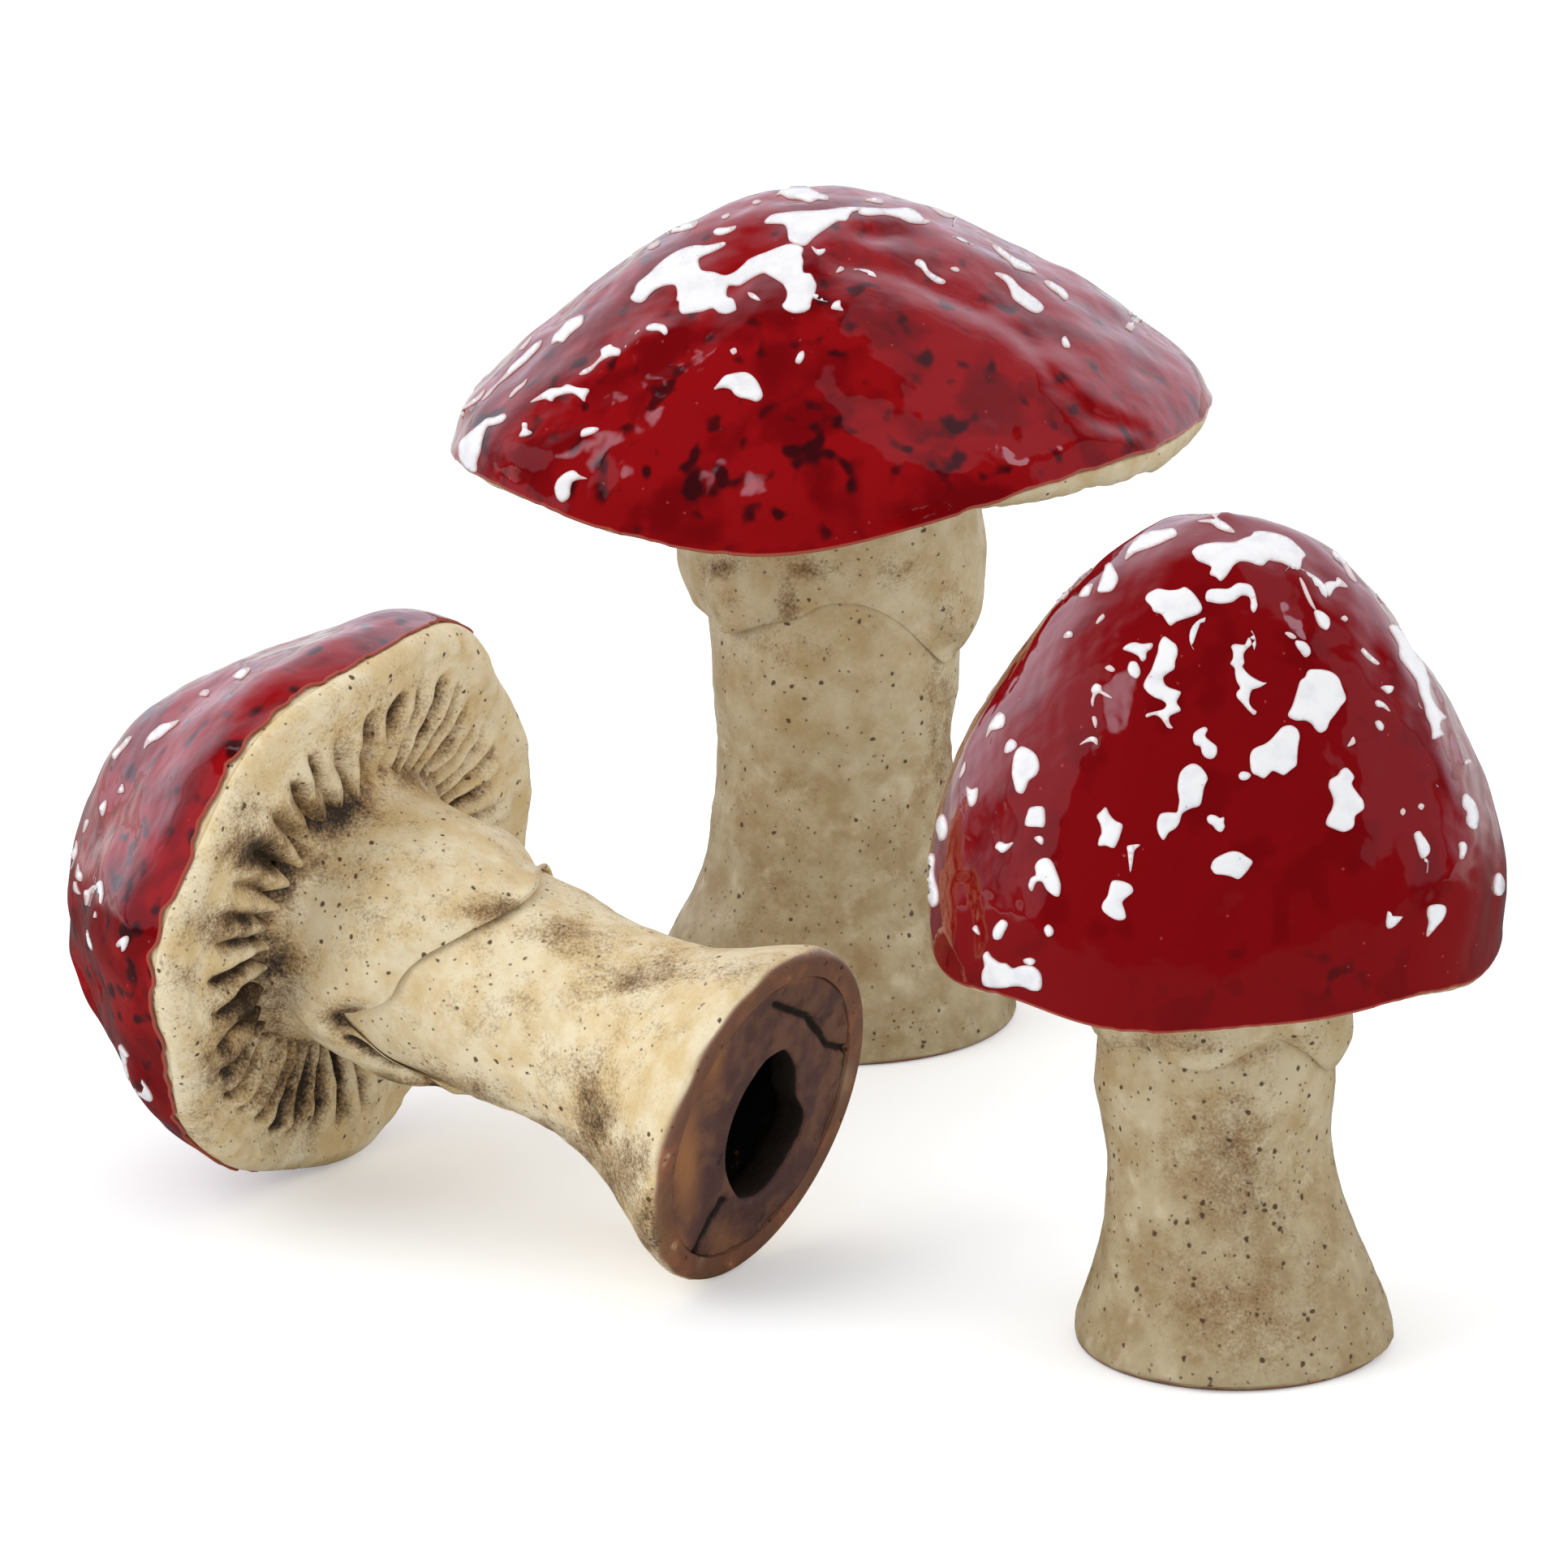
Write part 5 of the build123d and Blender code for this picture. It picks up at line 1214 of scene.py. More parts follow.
def add_foot_ring(m, material):
    """The brown disc in the foot, with its ragged stake hole."""
    turns = even_turns(DISC_TURN_COUNT)
    thickness = m.clay.disc_thickness
    hole = round_curve(HOLES_MM[m.prefix], turns) * MM
    shares = np.linspace(1, 0, DISC_RING_COUNT)
    face = []
    for share in shares:
        radius = hole + (m.disc_radius - hole) * share
        face.append(level_ring((0, 0), radius, DISC_SINK_MM * MM, turns))
    face = np.stack(face)
    pixels = m.pixels(face)
    relief = m.rough(face, "disc", 0.35)
    cracks = np.zeros(face.shape[:2])
    for line, width, depth in FOOT_CRACKS[m.prefix]:
        cracks = np.maximum(cracks, depth * np.exp(-((line_distance(pixels, line) / width) ** 2)))
    place, width, height = HOLE_COLLAR
    collar = height * np.exp(-(((shares - place) / width) ** 2))[:, None]
    face[..., 2] += MM * np.maximum(relief + cracks - collar, 0)
    face[-1, :, 2] += HOLE_ROUNDING_MM * MM
    wall = [
        level_ring((0, 0), hole + push * MM, share * thickness, turns)
        for push, share in HOLE_WALL
    ]
    back = level_ring((0, 0), m.disc_radius, thickness, turns)
    rings = np.concatenate([face, wall, [back]])
    crack = np.zeros(rings.shape[:2])
    crack[:len(face)] = cracks
    crack[len(face) - 1:len(face) + len(wall)] = 1
    tint = np.clip(dabs(m.pixels(rings), FOOT_TINTS[m.prefix]), 0, 1)
    marks = {"crack": np.clip(crack, 0, 1), "tint": tint}
    title = m.prefix + "_foot_disc"
    add_turned(m, title, m.prefix + "_foot_ring", rings, marks, material)


def add_skirt(m, material):
    """The strip of clay pressed round the neck, with its drooping lobes."""
    turns = even_turns(SKIRT_TURN_COUNT)
    hem_table = [(degrees, drop) for degrees, drop, _ in HEMS_MM[m.prefix]]
    puff_table = [(degrees, puff) for degrees, _, puff in HEMS_MM[m.prefix]]
    hem = round_curve(hem_table, turns) * MM
    puff = round_curve(puff_table, turns) * MM
    top = m.neck_height - m.clay.slip_gap
    hem = hem + m.skirt_top_gap
    inner = m.neck_radius + m.clay.skirt_gap
    shares = np.linspace(0, 1, SKIRT_RING_COUNT)
    reach, spread = (size * MM for size in TRUMPET_MM)
    thickness = curve(SKIRT_SECTION_SHARES, shares) * m.skirt_thickness
    rings = []
    for share, thick in zip(shares, thickness):
        z = top - hem * share
        flare = spread * np.clip(1 - hem * share / reach, 0, 1) ** 2
        stand = np.maximum(thick + puff * share**1.5, SKIRT_LEAST_MM * MM) + flare
        rings.append(level_ring(m.shift, inner + stand - m.squeeze(turns, z), z, turns))
    outside = np.stack(rings)
    drawn_out = outside * (1, 1, FOLD_STRETCH)
    folds = m.rough(drawn_out, "skirt_folds") + m.rough(outside, "skirt")
    pixels = m.pixels(outside)
    cuts = np.zeros(outside.shape[:2])
    for line, width, depth in SKIRT_CUTS[m.prefix]:
        cuts = np.maximum(cuts, depth * np.exp(-((line_distance(pixels, line) / width) ** 2)))
    shown = m.faced(outside, turned_normals(outside))
    middle = np.append(m.shift, 0)
    away = (outside - middle) * (1, 1, 0)
    away /= np.linalg.norm(away, axis=-1, keepdims=True)
    dents = sum((dabs(pixels, (dent,)) for dent in SKIRT_DENTS[m.prefix]), np.zeros(cuts.shape))
    push = MM * (folds * shares[:, None] ** 0.7 - cuts - dents * shown)
    stood = np.linalg.norm((outside - middle)[..., :2], axis=-1) - inner
    stood += m.squeeze(turns[None, :], outside[..., 2])
    limit = np.maximum(stood - SKIRT_LEAST_MM * MM, 0)
    outside = outside + away * np.maximum(push, -limit)[..., None]
    last = np.linalg.norm((outside[-1] - middle)[..., :2], axis=-1) - inner
    under = [
        level_ring(m.shift, inner + last * out, top - hem - drop * MM, turns)
        for out, drop in HEM_ROUNDING
    ]
    inside = []
    for share in SKIRT_BACK_SHARES:
        z = top - hem * share
        inside.append(level_ring(m.shift, inner - m.squeeze(turns, z), z, turns))
    rings = np.concatenate([outside, under, inside])
    stain = dabs(m.pixels(rings), SKIRT_STAINS_AND_SHADE[m.prefix])
    # painted shadow along the cuts
    stain[:len(outside)] = np.maximum(stain[:len(outside)], np.clip(cuts * 0.8, 0, 1) * shown)
    cloud = STAIN_SWAY[m.prefix] * m.rough(rings, "skirt_cloud")
    stain = stain + BASE_STAIN[m.prefix] + cloud
    # painted shade at the top of the skirt, under the gills
    stain[:len(outside)] += 0.5 * step_up(0.3, 0.0, shares[:, None])
    marks = {"stain": np.clip(stain, 0, 1), "worn": np.zeros(rings.shape[:2])}
    title = m.prefix + "_skirt_strip"
    add_turned(m, title, m.prefix + "_skirt", rings, marks, material)


# White pads


def closed_curve(outline):
    """A smooth closed curve through the corners of an outline."""
    here = np.asarray(outline, float)
    before, ahead, beyond = (np.roll(here, shift, 0) for shift in (1, -1, -2))
    rows = []
    for step in range(PAD_CURVE_STEPS):
        t = step / PAD_CURVE_STEPS
        slope = (ahead - before) * t
        bend = (2 * before - 5 * here + 4 * ahead - beyond) * t**2
        twist = (3 * here - before - 3 * ahead + beyond) * t**3
        rows.append(here + (slope + bend + twist) / 2)
    return np.stack(rows, 1).reshape(-1, 2)


def inside_outline(points, border):
    """Which points lie inside a closed border."""
    inside = np.zeros(len(points), bool)
    x, y = points[:, 0], points[:, 1]
    for (ax, ay), (bx, by) in zip(border, np.roll(border, -1, 0)):
        if ay != by:
            crosses = (ay > y) != (by > y)
            inside ^= crosses & (x < (bx - ax) * (y - ay) / (by - ay) + ax)
    return inside


def fill_outline(border, pitch):
    """Flat triangles inside a closed border, with rows of points between."""
    low, high = border.min(0), border.max(0)
    xs = np.arange(low[0] + pitch / 2, high[0], pitch)
    ys = np.arange(low[1] + pitch / 2, high[1], pitch * GRID_ROW_SHARE)
    grid = np.array([(x + pitch / 2 * (row % 2), y) for row, y in enumerate(ys) for x in xs])
    grid = grid.reshape(-1, 2)
    grid = grid[inside_outline(grid, border)]
    if len(grid):
        loop = np.vstack([border, border[:1]])
        grid = grid[line_distance(grid, loop) > GRID_CLEARANCE_SHARE * pitch]
    x, y = border.T
    area = (x * np.roll(y, -1) - np.roll(x, -1) * y).sum()
    order = range(len(border)) if area > 0 else range(len(border) - 1, -1, -1)
    points = [Vector(point) for point in np.vstack([border, grid])]
    made = delaunay_2d_cdt(points, [], [list(order)], 1, 1e-5)
    return np.array([tuple(point) for point in made[0]]), [tuple(face) for face in made[2]]


def border_points(faces):
    """Edges that only one triangle has, as pairs of points."""
    edges = {}
    for a, b, c in faces:
        for edge in ((a, b), (b, c), (c, a)):
            key = tuple(sorted(edge))
            edges[key] = None if key in edges else edge
    return [edge for edge in edges.values() if edge is not None]


def pad_skin(m, border, pitch, lay):
    """Points, faces and edge marks of one white pad laid on the glaze."""
    flat, faces = fill_outline(border, pitch)
    if not faces:
        return None
    laid = [lay(point) for point in flat]
    spots = np.array([spot for spot, _ in laid])
    normals = np.array([normal for _, normal in laid])
    edges = border_points(faces)
    rim = sorted({point for edge in edges for point in edge})
    tree = KDTree(len(rim))
    for at, point in enumerate(rim):
        tree.insert(spots[point], at)
    tree.balance()
    depth = np.array([tree.find(spot)[2] for spot in spots])
    shoulder = m.clay.pad_shoulder
    share = np.clip(depth / shoulder, 0, 1)
    swell = m.clay.pad_thickness - m.clay.pad_edge
    crown = m.clay.pad_edge + swell * np.sqrt(1 - (1 - share) ** 2)
    crown = crown * m.rough(spots, "pad", 1)
    top = spots + normals * crown[:, None]
    base = spots - normals * m.clay.pad_sink
    count = len(spots)
    skin = list(faces) + [(c + count, b + count, a + count) for a, b, c in faces]
    skin += [(b, a, a + count, b + count) for a, b in edges]
    points = np.vstack([top, base])
    rim_mark = np.exp(-depth / (PAD_RIM_MM * MM))
    return points, outward(points, skin), np.concatenate([rim_mark, np.ones(count)])


def photo_layer(m, tree, middle):
    """A function that lays a pixel of the photograph on the glaze."""

    def lay(pixel):
        way = Vector(m.eye.ray(pixel))
        eye = Vector(m.eye.spot)
        spot, normal, _, _ = tree.ray_cast(eye, way)
        if spot is None or normal.dot(way) > 0:
            near = eye + way * (middle - eye).dot(way)
            spot, normal, _, _ = tree.find_nearest(near)
        return np.array(spot), np.array(normal)

    return lay


def tangent_layer(tree, middle, normal, side):
    """A function that lays a spot of a flat sheet, in metres, on the glaze."""
    across = normal.cross(side)

    def lay(point):
        spot, found, _, _ = tree.find_nearest(middle + side * point[0] + across * point[1])
        return np.array(spot), np.array(found)

    return lay


def blob_outline(rng, size):
    """A random lobed outline about a size across, in metres."""
    turns = even_turns(BLOB_POINT_COUNT)
    radius = np.ones(len(turns))
    for count in BLOB_LOBES:
        swing = rng.uniform(0.0, BLOB_SWING) / count
        radius += swing * np.cos(count * turns + rng.uniform(0, 2 * math.pi))
    radius = np.maximum(radius, 0.3) * size / 2
    slim = rng.uniform(0.45, 1.0)
    return np.stack([radius * np.cos(turns), radius * np.sin(turns) * slim], -1)


def hidden_pads(m, tree):
    """Pads on the sides that the photograph doesn't show: outline, pitch and layer."""
    rng = np.random.default_rng(m.seed + 80)
    eye = Vector(m.eye.spot)
    spots = []
    tries = 0
    while len(spots) < HIDDEN_PAD_COUNTS[m.prefix] and tries < PAD_TRIES:
        tries += 1
        turn, place = rng.uniform(0, 2 * math.pi), rng.uniform(*PAD_PLACES) ** 0.8
        size = rng.uniform(*PAD_SIZES_MM) * MM * (0.75 if place > 0.8 else 1)
        ring = m.dome(np.array((place,)), np.array((turn,)))[0, 0]
        spot, normal, _, _ = tree.find_nearest(Vector(m.placed(ring)))
        view = (eye - spot).normalized()
        close = any(
            (spot - other).length < (size + wide) * PAD_SPACING_SHARE for other, wide in spots
        )
        if normal.dot(view) > HIDDEN_FACING or close:
            continue
        spots.append((spot, size))
        side = normal.orthogonal().normalized()
        side.rotate(Matrix.Rotation(rng.uniform(0, 2 * math.pi), 3, normal))
        yield blob_outline(rng, size), PAD_PITCH_MM * MM, tangent_layer(tree, spot, normal, side)


def add_white_patches(m, material):
    """The raised pads of white glaze on one dome."""
    dome = bpy.data.objects.get(m.prefix + "_glazed_dome")
    if dome is None:
        raise RuntimeError("add the red glazes before the white patches")
    corners = [vertex.co for vertex in dome.data.vertices]
    tree = BVHTree.FromPolygons(corners, [face.vertices for face in dome.data.polygons])
    middle = Vector(m.placed(np.append(m.shift, (m.rim_height + m.height) / 2)))
    lay = photo_layer(m, tree, middle)
    pads = [(closed_curve(outline), PAD_PITCH_PX, lay) for outline in PADS_PX[m.prefix]]
    skins = [pad_skin(m, *pad) for pad in [*pads, *hidden_pads(m, tree)]]
    points, faces, rims, count = [], [], [], 0
    for skin in skins:
        if skin is not None:
            points.append(skin[0])
            faces += [np.array(face) + count for face in skin[1]]
            rims.append(skin[2])
            count += len(skin[0])
    points = keep_inside(np.vstack(points))
    marks = {"rim": np.concatenate(rims)}
    piece = add_mesh(m.prefix + "_white_pads", points, faces, marks, material)
    finish_piece(piece, m.prefix + "_white_patches")


# Materials


class Nodes:
    """The nodes of a material or of the world, put down one after another."""

    def __init__(self, owner, output, coordinate):
        owner.use_nodes = True
        self.owner = owner
        self.tree = owner.node_tree
        self.tree.nodes.clear()
        self.output = self.tree.nodes.new("ShaderNodeOutput" + output)
        self.spot = self.put("TexCoord").outputs[coordinate]

    def put(self, kind, settings=None, **values):
        """A node with its settings, and links or constants for its sockets."""
        node = self.tree.nodes.new("ShaderNode" + kind)
        for key, value in (settings or {}).items():
            setattr(node, key, value)
        for key, value in values.items():
            numbered = key[0] == "n" and key[1:].isdigit()
            socket = node.inputs[int(key[1:]) if numbered else key.replace("_", " ")]
            if isinstance(value, bpy.types.NodeSocket):
                self.tree.links.new(value, socket)
            else:
                socket.default_value = value
        return node

    def mark(self, name):
        """A float mark painted on the mesh."""
        return self.put("Attribute", {"attribute_name": name}).outputs["Fac"]

    def noise(self, size, detail=3.0, roughness=0.55, distortion=0.0, shift=0.0):
        """Cloudy noise about a size in metres across."""
        spot = self.spot
        if shift:
            moved = self.put("VectorMath", {"operation": "ADD"}, n0=spot, n1=(shift,) * 3)
            spot = moved.outputs[0]
        node = self.put(
            "TexNoise", Vector=spot, Scale=1 / size, Detail=detail, Roughness=roughness,
            Distortion=distortion,
        )
        return node.outputs["Fac"]

    def specks(self, size, share, spread):
        """Round specks of about a size, in a share of the cells of a spread."""
        reach = size / spread / 2
        bent = self.put("TexNoise", Vector=self.spot, Scale=1 / (size * 1.5), Detail=1.0)
        moved = self.put(
            "VectorMath", {"operation": "MULTIPLY_ADD"}, n0=bent.outputs["Color"],
            n1=(size,) * 3, n2=self.spot,
        )
        cells = self.put("TexVoronoi", Vector=moved.outputs[0], Scale=1 / spread)
        near = self.fall(cells.outputs["Distance"], reach * 0.6, reach * 1.1)
        pick = self.put("SeparateColor", Color=cells.outputs["Color"]).outputs[0]
        return self.times(near, self.math("LESS_THAN", pick, share))

    def math(self, operation, first, second):
        """A sum, product or the like of two values."""
        return self.put("Math", {"operation": operation}, n0=first, n1=second).outputs[0]

    def times(self, first, second):
        """The product of two values."""
        return self.math("MULTIPLY", first, second)

    def rise(self, value, low, high, top=1.0, bottom=0.0):
        """A soft step from a bottom to a top value as a value goes from low to high."""
        node = self.put(
            "MapRange", {"interpolation_type": "SMOOTHSTEP"}, Value=value, From_Min=low,
            From_Max=high, To_Min=bottom, To_Max=top,
        )
        return node.outputs["Result"]

    def fall(self, value, low, high):
        """A soft step from 1 to 0 as a value goes from low to high."""
        return self.rise(value, low, high, 0.0, 1.0)

    def blend(self, share, first, second):
        """Two colours mixed by a share."""
        return self.put("MixRGB", Fac=share, Color1=first, Color2=second).outputs[0]

    def bump(self, height, distance):
        """A bumped normal from a height between 0 and 1, over a distance in metres."""
        return self.put("Bump", Height=height, Distance=distance, Strength=1.0).outputs["Normal"]

    def towards(self, way, inner, outer):
        """A soft spot on the sky about a direction, from an inner to an outer cosine."""
        near = self.put("VectorMath", {"operation": "DOT_PRODUCT"}, n0=self.spot, n1=way)
        return self.rise(near.outputs["Value"], outer, inner)

    def skin(self, paint, normal, roughness, ior):
        """Show a surface by its paint, its bumps, its roughness and its refractive index."""
        return self.surface(self.put(
            "BsdfPrincipled", Base_Color=paint, Roughness=roughness, IOR=ior, Normal=normal
        ))

    def surface(self, shader):
        """Show a shader, and give back what these nodes belong to."""
        self.tree.links.new(shader.outputs[0], self.output.inputs["Surface"])
        return self.owner


def material_nodes(title):
    """The nodes of a new material."""
    return Nodes(bpy.data.materials.new(title), "Material", "Object")


def solid(colour):
    """A colour property as a socket's four values."""
    return (*colour, 1.0)


def red_glaze_material(colours):
    """Glassy red glaze that pools darker, with blackish mottling and a thin pale edge."""
    r = material_nodes("red_glaze_finish")
    mottle = r.mark("mottle")
    edge = r.mark("edge")
    cloud = r.noise(12 * MM, detail=2.5, distortion=0.2)
    deep = r.math("MAXIMUM", r.rise(cloud, 0.38, 0.62), r.mark("pool"))
    red = r.blend(deep, solid(colours.bright_red), solid(colours.deep_red))
    blotch = r.noise(3.4 * MM, detail=0.6, roughness=0.5, shift=0.3)
    broad = r.noise(9 * MM, detail=1.0, shift=0.9)
    field = r.math("ADD", blotch, r.times(r.math("SUBTRACT", broad, 0.5), 0.5))
    level = r.math("SUBTRACT", 0.74, r.times(mottle, 0.17))
    dark = r.rise(r.math("SUBTRACT", field, level), -0.07, 0.11)
    dark = r.times(dark, r.rise(mottle, 0.0, 0.5, 0.92))
    red = r.blend(dark, red, solid(colours.mottle))
    specks = r.specks(0.5 * MM, 0.5, 3.0 * MM)
    red = r.blend(r.times(specks, 0.35), red, solid(colours.red_speck))
    red = r.blend(r.rise(edge, 0.5, 1.0, 0.85), red, solid(colours.glaze_edge))
    normal = r.bump(r.noise(6 * MM, detail=2.0, shift=0.7), 0.2 * MM)
    return r.skin(red, normal, colours.glaze_roughness, GLAZE_IOR)


def white_glaze_material(colours):
    """Satin white glaze pads with faint grey specks and a pinkish border."""
    r = material_nodes("white_glaze_finish")
    cloud = r.noise(4 * MM, detail=3.0)
    white = r.blend(r.rise(cloud, 0.4, 0.75), solid(colours.white), solid(colours.white_shade))
    specks = r.specks(0.45 * MM, 0.7, 2.6 * MM)
    white = r.blend(r.times(specks, 0.3), white, solid(colours.speck))
    white = r.blend(r.rise(r.mark("rim"), 0.5, 1.0, 0.5), white, solid(colours.pad_edge))
    normal = r.bump(r.noise(1.6 * MM, detail=3.0), 0.08 * MM)
    return r.skin(white, normal, colours.pad_roughness, PAD_IOR)


def stoneware_material(colours):
    """Satin stoneware, khaki to cream, with iron specks, oxide washes, painted shade in hollows and
    a toasted foot.
    """
    r = material_nodes("stoneware_finish")
    cloud = r.noise(8 * MM, detail=7.0, roughness=0.68)
    khaki = r.blend(r.rise(cloud, 0.32, 0.7), solid(colours.clay), solid(colours.clay_shade))
    pale = r.blend(r.rise(cloud, 0.36, 0.64), solid(colours.cream), solid(colours.cream_shade))
    clay = r.blend(r.mark("cream"), khaki, pale)
    patchy = r.noise(4.5 * MM, detail=4.0, shift=0.4)
    clay = r.blend(r.rise(patchy, 0.52, 0.78, 0.35), clay, solid(colours.clay_light))
    brown = r.rise(patchy, 0.34, 0.54)
    toasted = r.blend(brown, solid(colours.worn_clay), solid(colours.foot_brown))
    clay = r.blend(r.times(r.mark("worn"), r.rise(patchy, 0.1, 0.35)), clay, toasted)
    stain = r.mark("stain")
    dust = r.noise(0.5 * MM, detail=2.5, roughness=0.7, shift=0.2)
    drift = r.noise(3.6 * MM, detail=4.0, roughness=0.65, shift=0.5)
    field = r.math("ADD", stain, r.times(r.math("SUBTRACT", dust, 0.5), 1.1))
    field = r.math("ADD", field, r.times(r.math("SUBTRACT", drift, 0.5), 1.0))
    wash = r.times(r.rise(field, 0.12, 0.75, 0.85), r.rise(stain, 0.0, 0.15))
    clay = r.blend(wash, clay, solid(colours.wash))
    core = r.times(r.rise(field, 0.55, 1.05, 0.95), r.rise(stain, 0.2, 0.5))
    clay = r.blend(core, clay, solid(colours.oxide))
    # painted shade: marks above 1, the inside of a stem's hollow, go near black
    clay = r.blend(r.rise(stain, 1.2, 1.8), clay, (0.002, 0.002, 0.002, 1.0))
    iron = r.mark("iron")
    big = r.specks(0.95 * MM, r.times(iron, 0.55), 2.7 * MM)
    small = r.specks(0.55 * MM, r.times(iron, 0.9), 1.7 * MM)
    clay = r.blend(r.times(big, 0.92), clay, solid(colours.speck))
    clay = r.blend(r.times(small, 0.75), clay, solid(colours.speck))
    normal = r.bump(r.noise(0.9 * MM, detail=4.0, roughness=0.65), 0.12 * MM)
    roughness = r.math("ADD", r.times(wash, 0.25), colours.clay_roughness)
    return r.skin(clay, normal, roughness, CLAY_IOR)


def foot_clay_material(colours):
    """Dry brown clay with purple-brown and orange zones, and dark cracks."""
    r = material_nodes("foot_clay_finish")
    cloud = r.noise(8 * MM, detail=5.0, roughness=0.6)
    clay = r.blend(r.rise(cloud, 0.4, 0.6), solid(colours.foot_brown), solid(colours.foot_purple))
    char = r.noise(5 * MM, detail=5.0, roughness=0.65, shift=0.6)
    clay = r.blend(r.rise(char, 0.55, 0.75, 0.7), clay, solid(colours.oxide))
    clay = r.blend(r.rise(r.mark("tint"), 0.1, 0.8, 0.85), clay, solid(colours.foot_orange))
    ragged = r.math("SUBTRACT", r.noise(1.5 * MM, detail=4.0), 0.5)
    crack = r.math("ADD", r.mark("crack"), r.times(ragged, 0.6))
    clay = r.blend(r.rise(crack, 0.3, 0.8, 0.97), clay, solid(colours.oxide))
    normal = r.bump(r.noise(1.6 * MM, detail=6.0, roughness=0.7), 0.5 * MM)
    return r.skin(clay, normal, FOOT_ROUGHNESS, CLAY_IOR)


def material_for(scene, slot):
    """The material of a slot, made when it's first asked for."""
    makers = {
        "red_glaze": red_glaze_material,
        "white_glaze": white_glaze_material,
        "stoneware": stoneware_material,
        "foot_clay": foot_clay_material,
    }
    found = bpy.data.materials.get(slot + "_finish")
    return found or makers[slot](scene.mushrooms_colours)


# Sizes and colours


def length(title, words, value):
    """A length property, given in millimetres and kept in metres."""
    return FloatProperty(
        name=title, description=words, default=value * MM, precision=5, unit="LENGTH"
    )


def spot(title, words, value):
    """A level offset, given in millimetres and kept in metres."""
    pair = tuple(part * MM for part in value)
    return FloatVectorProperty(
        name=title, description=words, size=2, default=pair, precision=5, unit="LENGTH"
    )


def number(title, words, value, **more):
    """A number property, with the unit, subtype or limits that fit it."""
    return FloatProperty(name=title, description=words, default=value, **more)


def colour(title, words, value):
    """A colour property, in linear light."""
    return FloatVectorProperty(
        name=title, description=words, size=3, default=value, min=0.0, max=1.0, subtype="COLOR"
    )


def linear(red, green, blue):
    """Linear light of a colour as the photograph shows it, given from 0 to 255."""
    def part(value):
        return value / 12.92 if value < 0.04045 else ((value + 0.055) / 1.055) ** 2.4

    return tuple(part(value / 255) for value in (red, green, blue))


class MushroomsWideSizes(bpy.types.PropertyGroup):
    """Sizes of the wide mushroom"""

    rim_height: length("Rim Height", "Height of the glazed rim over the foot", 100.5)
    cap_depth: length("Cap Depth", "Height of the dome over its rim", 37.4)
    cap_radius: length("Cap Radius", "Mean radius of the rim", 59.6)
    cap_shift: spot("Cap Shift", "Middle of the cap from the middle of the foot", (-0.8, 0.0))
    apex_shift: spot("Apex Shift", "Top of the dome from the middle of the cap", (-3.2, 0.0))
    gill_rise: length("Gill Rise", "How far the gills rise towards the stem", 3.5)
    foot_radius: length("Foot Radius", "Radius of the flared foot", 29.1)
    waist_radius: length("Waist Radius", "Radius of the stem at its waist", 19.2)
    neck_radius: length("Neck Radius", "Radius of the stem under the cap", 20.2)
    stake_radius: length("Stake Radius", "Radius of the stake hole", 12.5)
    disc_radius: length("Disc Radius", "Radius of the brown disc in the foot", 26.788)
    waist_length: length("Waist Length", "Straight stem between its flare and its neck", 9.6)
    neck_length: length("Neck Length", "Straight neck behind the skirt", 45.8)
    skirt_top_gap: length("Skirt Gap", "From the gills to where the drop of the hem starts", 3.0)
    skirt_thickness: length("Skirt Thickness", "Thickness of the skirt where it bulges", 3.3)
    gill_count: IntProperty(name="Gills", description="Number of gills", default=44, min=3)


class MushroomsBellSizes(bpy.types.PropertyGroup):
    """Sizes of the bell mushroom"""

    rim_height: length("Rim Height", "Height of the glazed rim over the foot", 64.7)
    cap_depth: length("Cap Depth", "Height of the dome over its rim", 66.6)
    cap_radius: length("Cap Radius", "Mean radius of the rim", 44.0)
    cap_shift: spot("Cap Shift", "Middle of the cap from the middle of the foot", (-3.4, 0.0))
    apex_shift: spot("Apex Shift", "Top of the dome from the middle of the cap", (1.0, 0.0))
    gill_rise: length("Gill Rise", "How far the gills rise towards the stem", 5.0)
    foot_radius: length("Foot Radius", "Radius of the flared foot", 23.9)
    waist_radius: length("Waist Radius", "Radius of the stem at its waist", 16.5)
    neck_radius: length("Neck Radius", "Radius of the stem under the cap", 17.2)
    stake_radius: length("Stake Radius", "Radius of the stake hole", 10.5)
    disc_radius: length("Disc Radius", "Radius of the brown disc in the foot", 20.373)
    waist_length: length("Waist Length", "Straight stem between its flare and its neck", 6.44)
    neck_length: length("Neck Length", "Straight neck behind the skirt", 25.66)
    skirt_top_gap: length("Skirt Gap", "From the gills to where the drop of the hem starts", 3.0)
    skirt_thickness: length("Skirt Thickness", "Thickness of the skirt where it bulges", 2.6)
    gill_count: IntProperty(name="Gills", description="Number of gills", default=36, min=3)


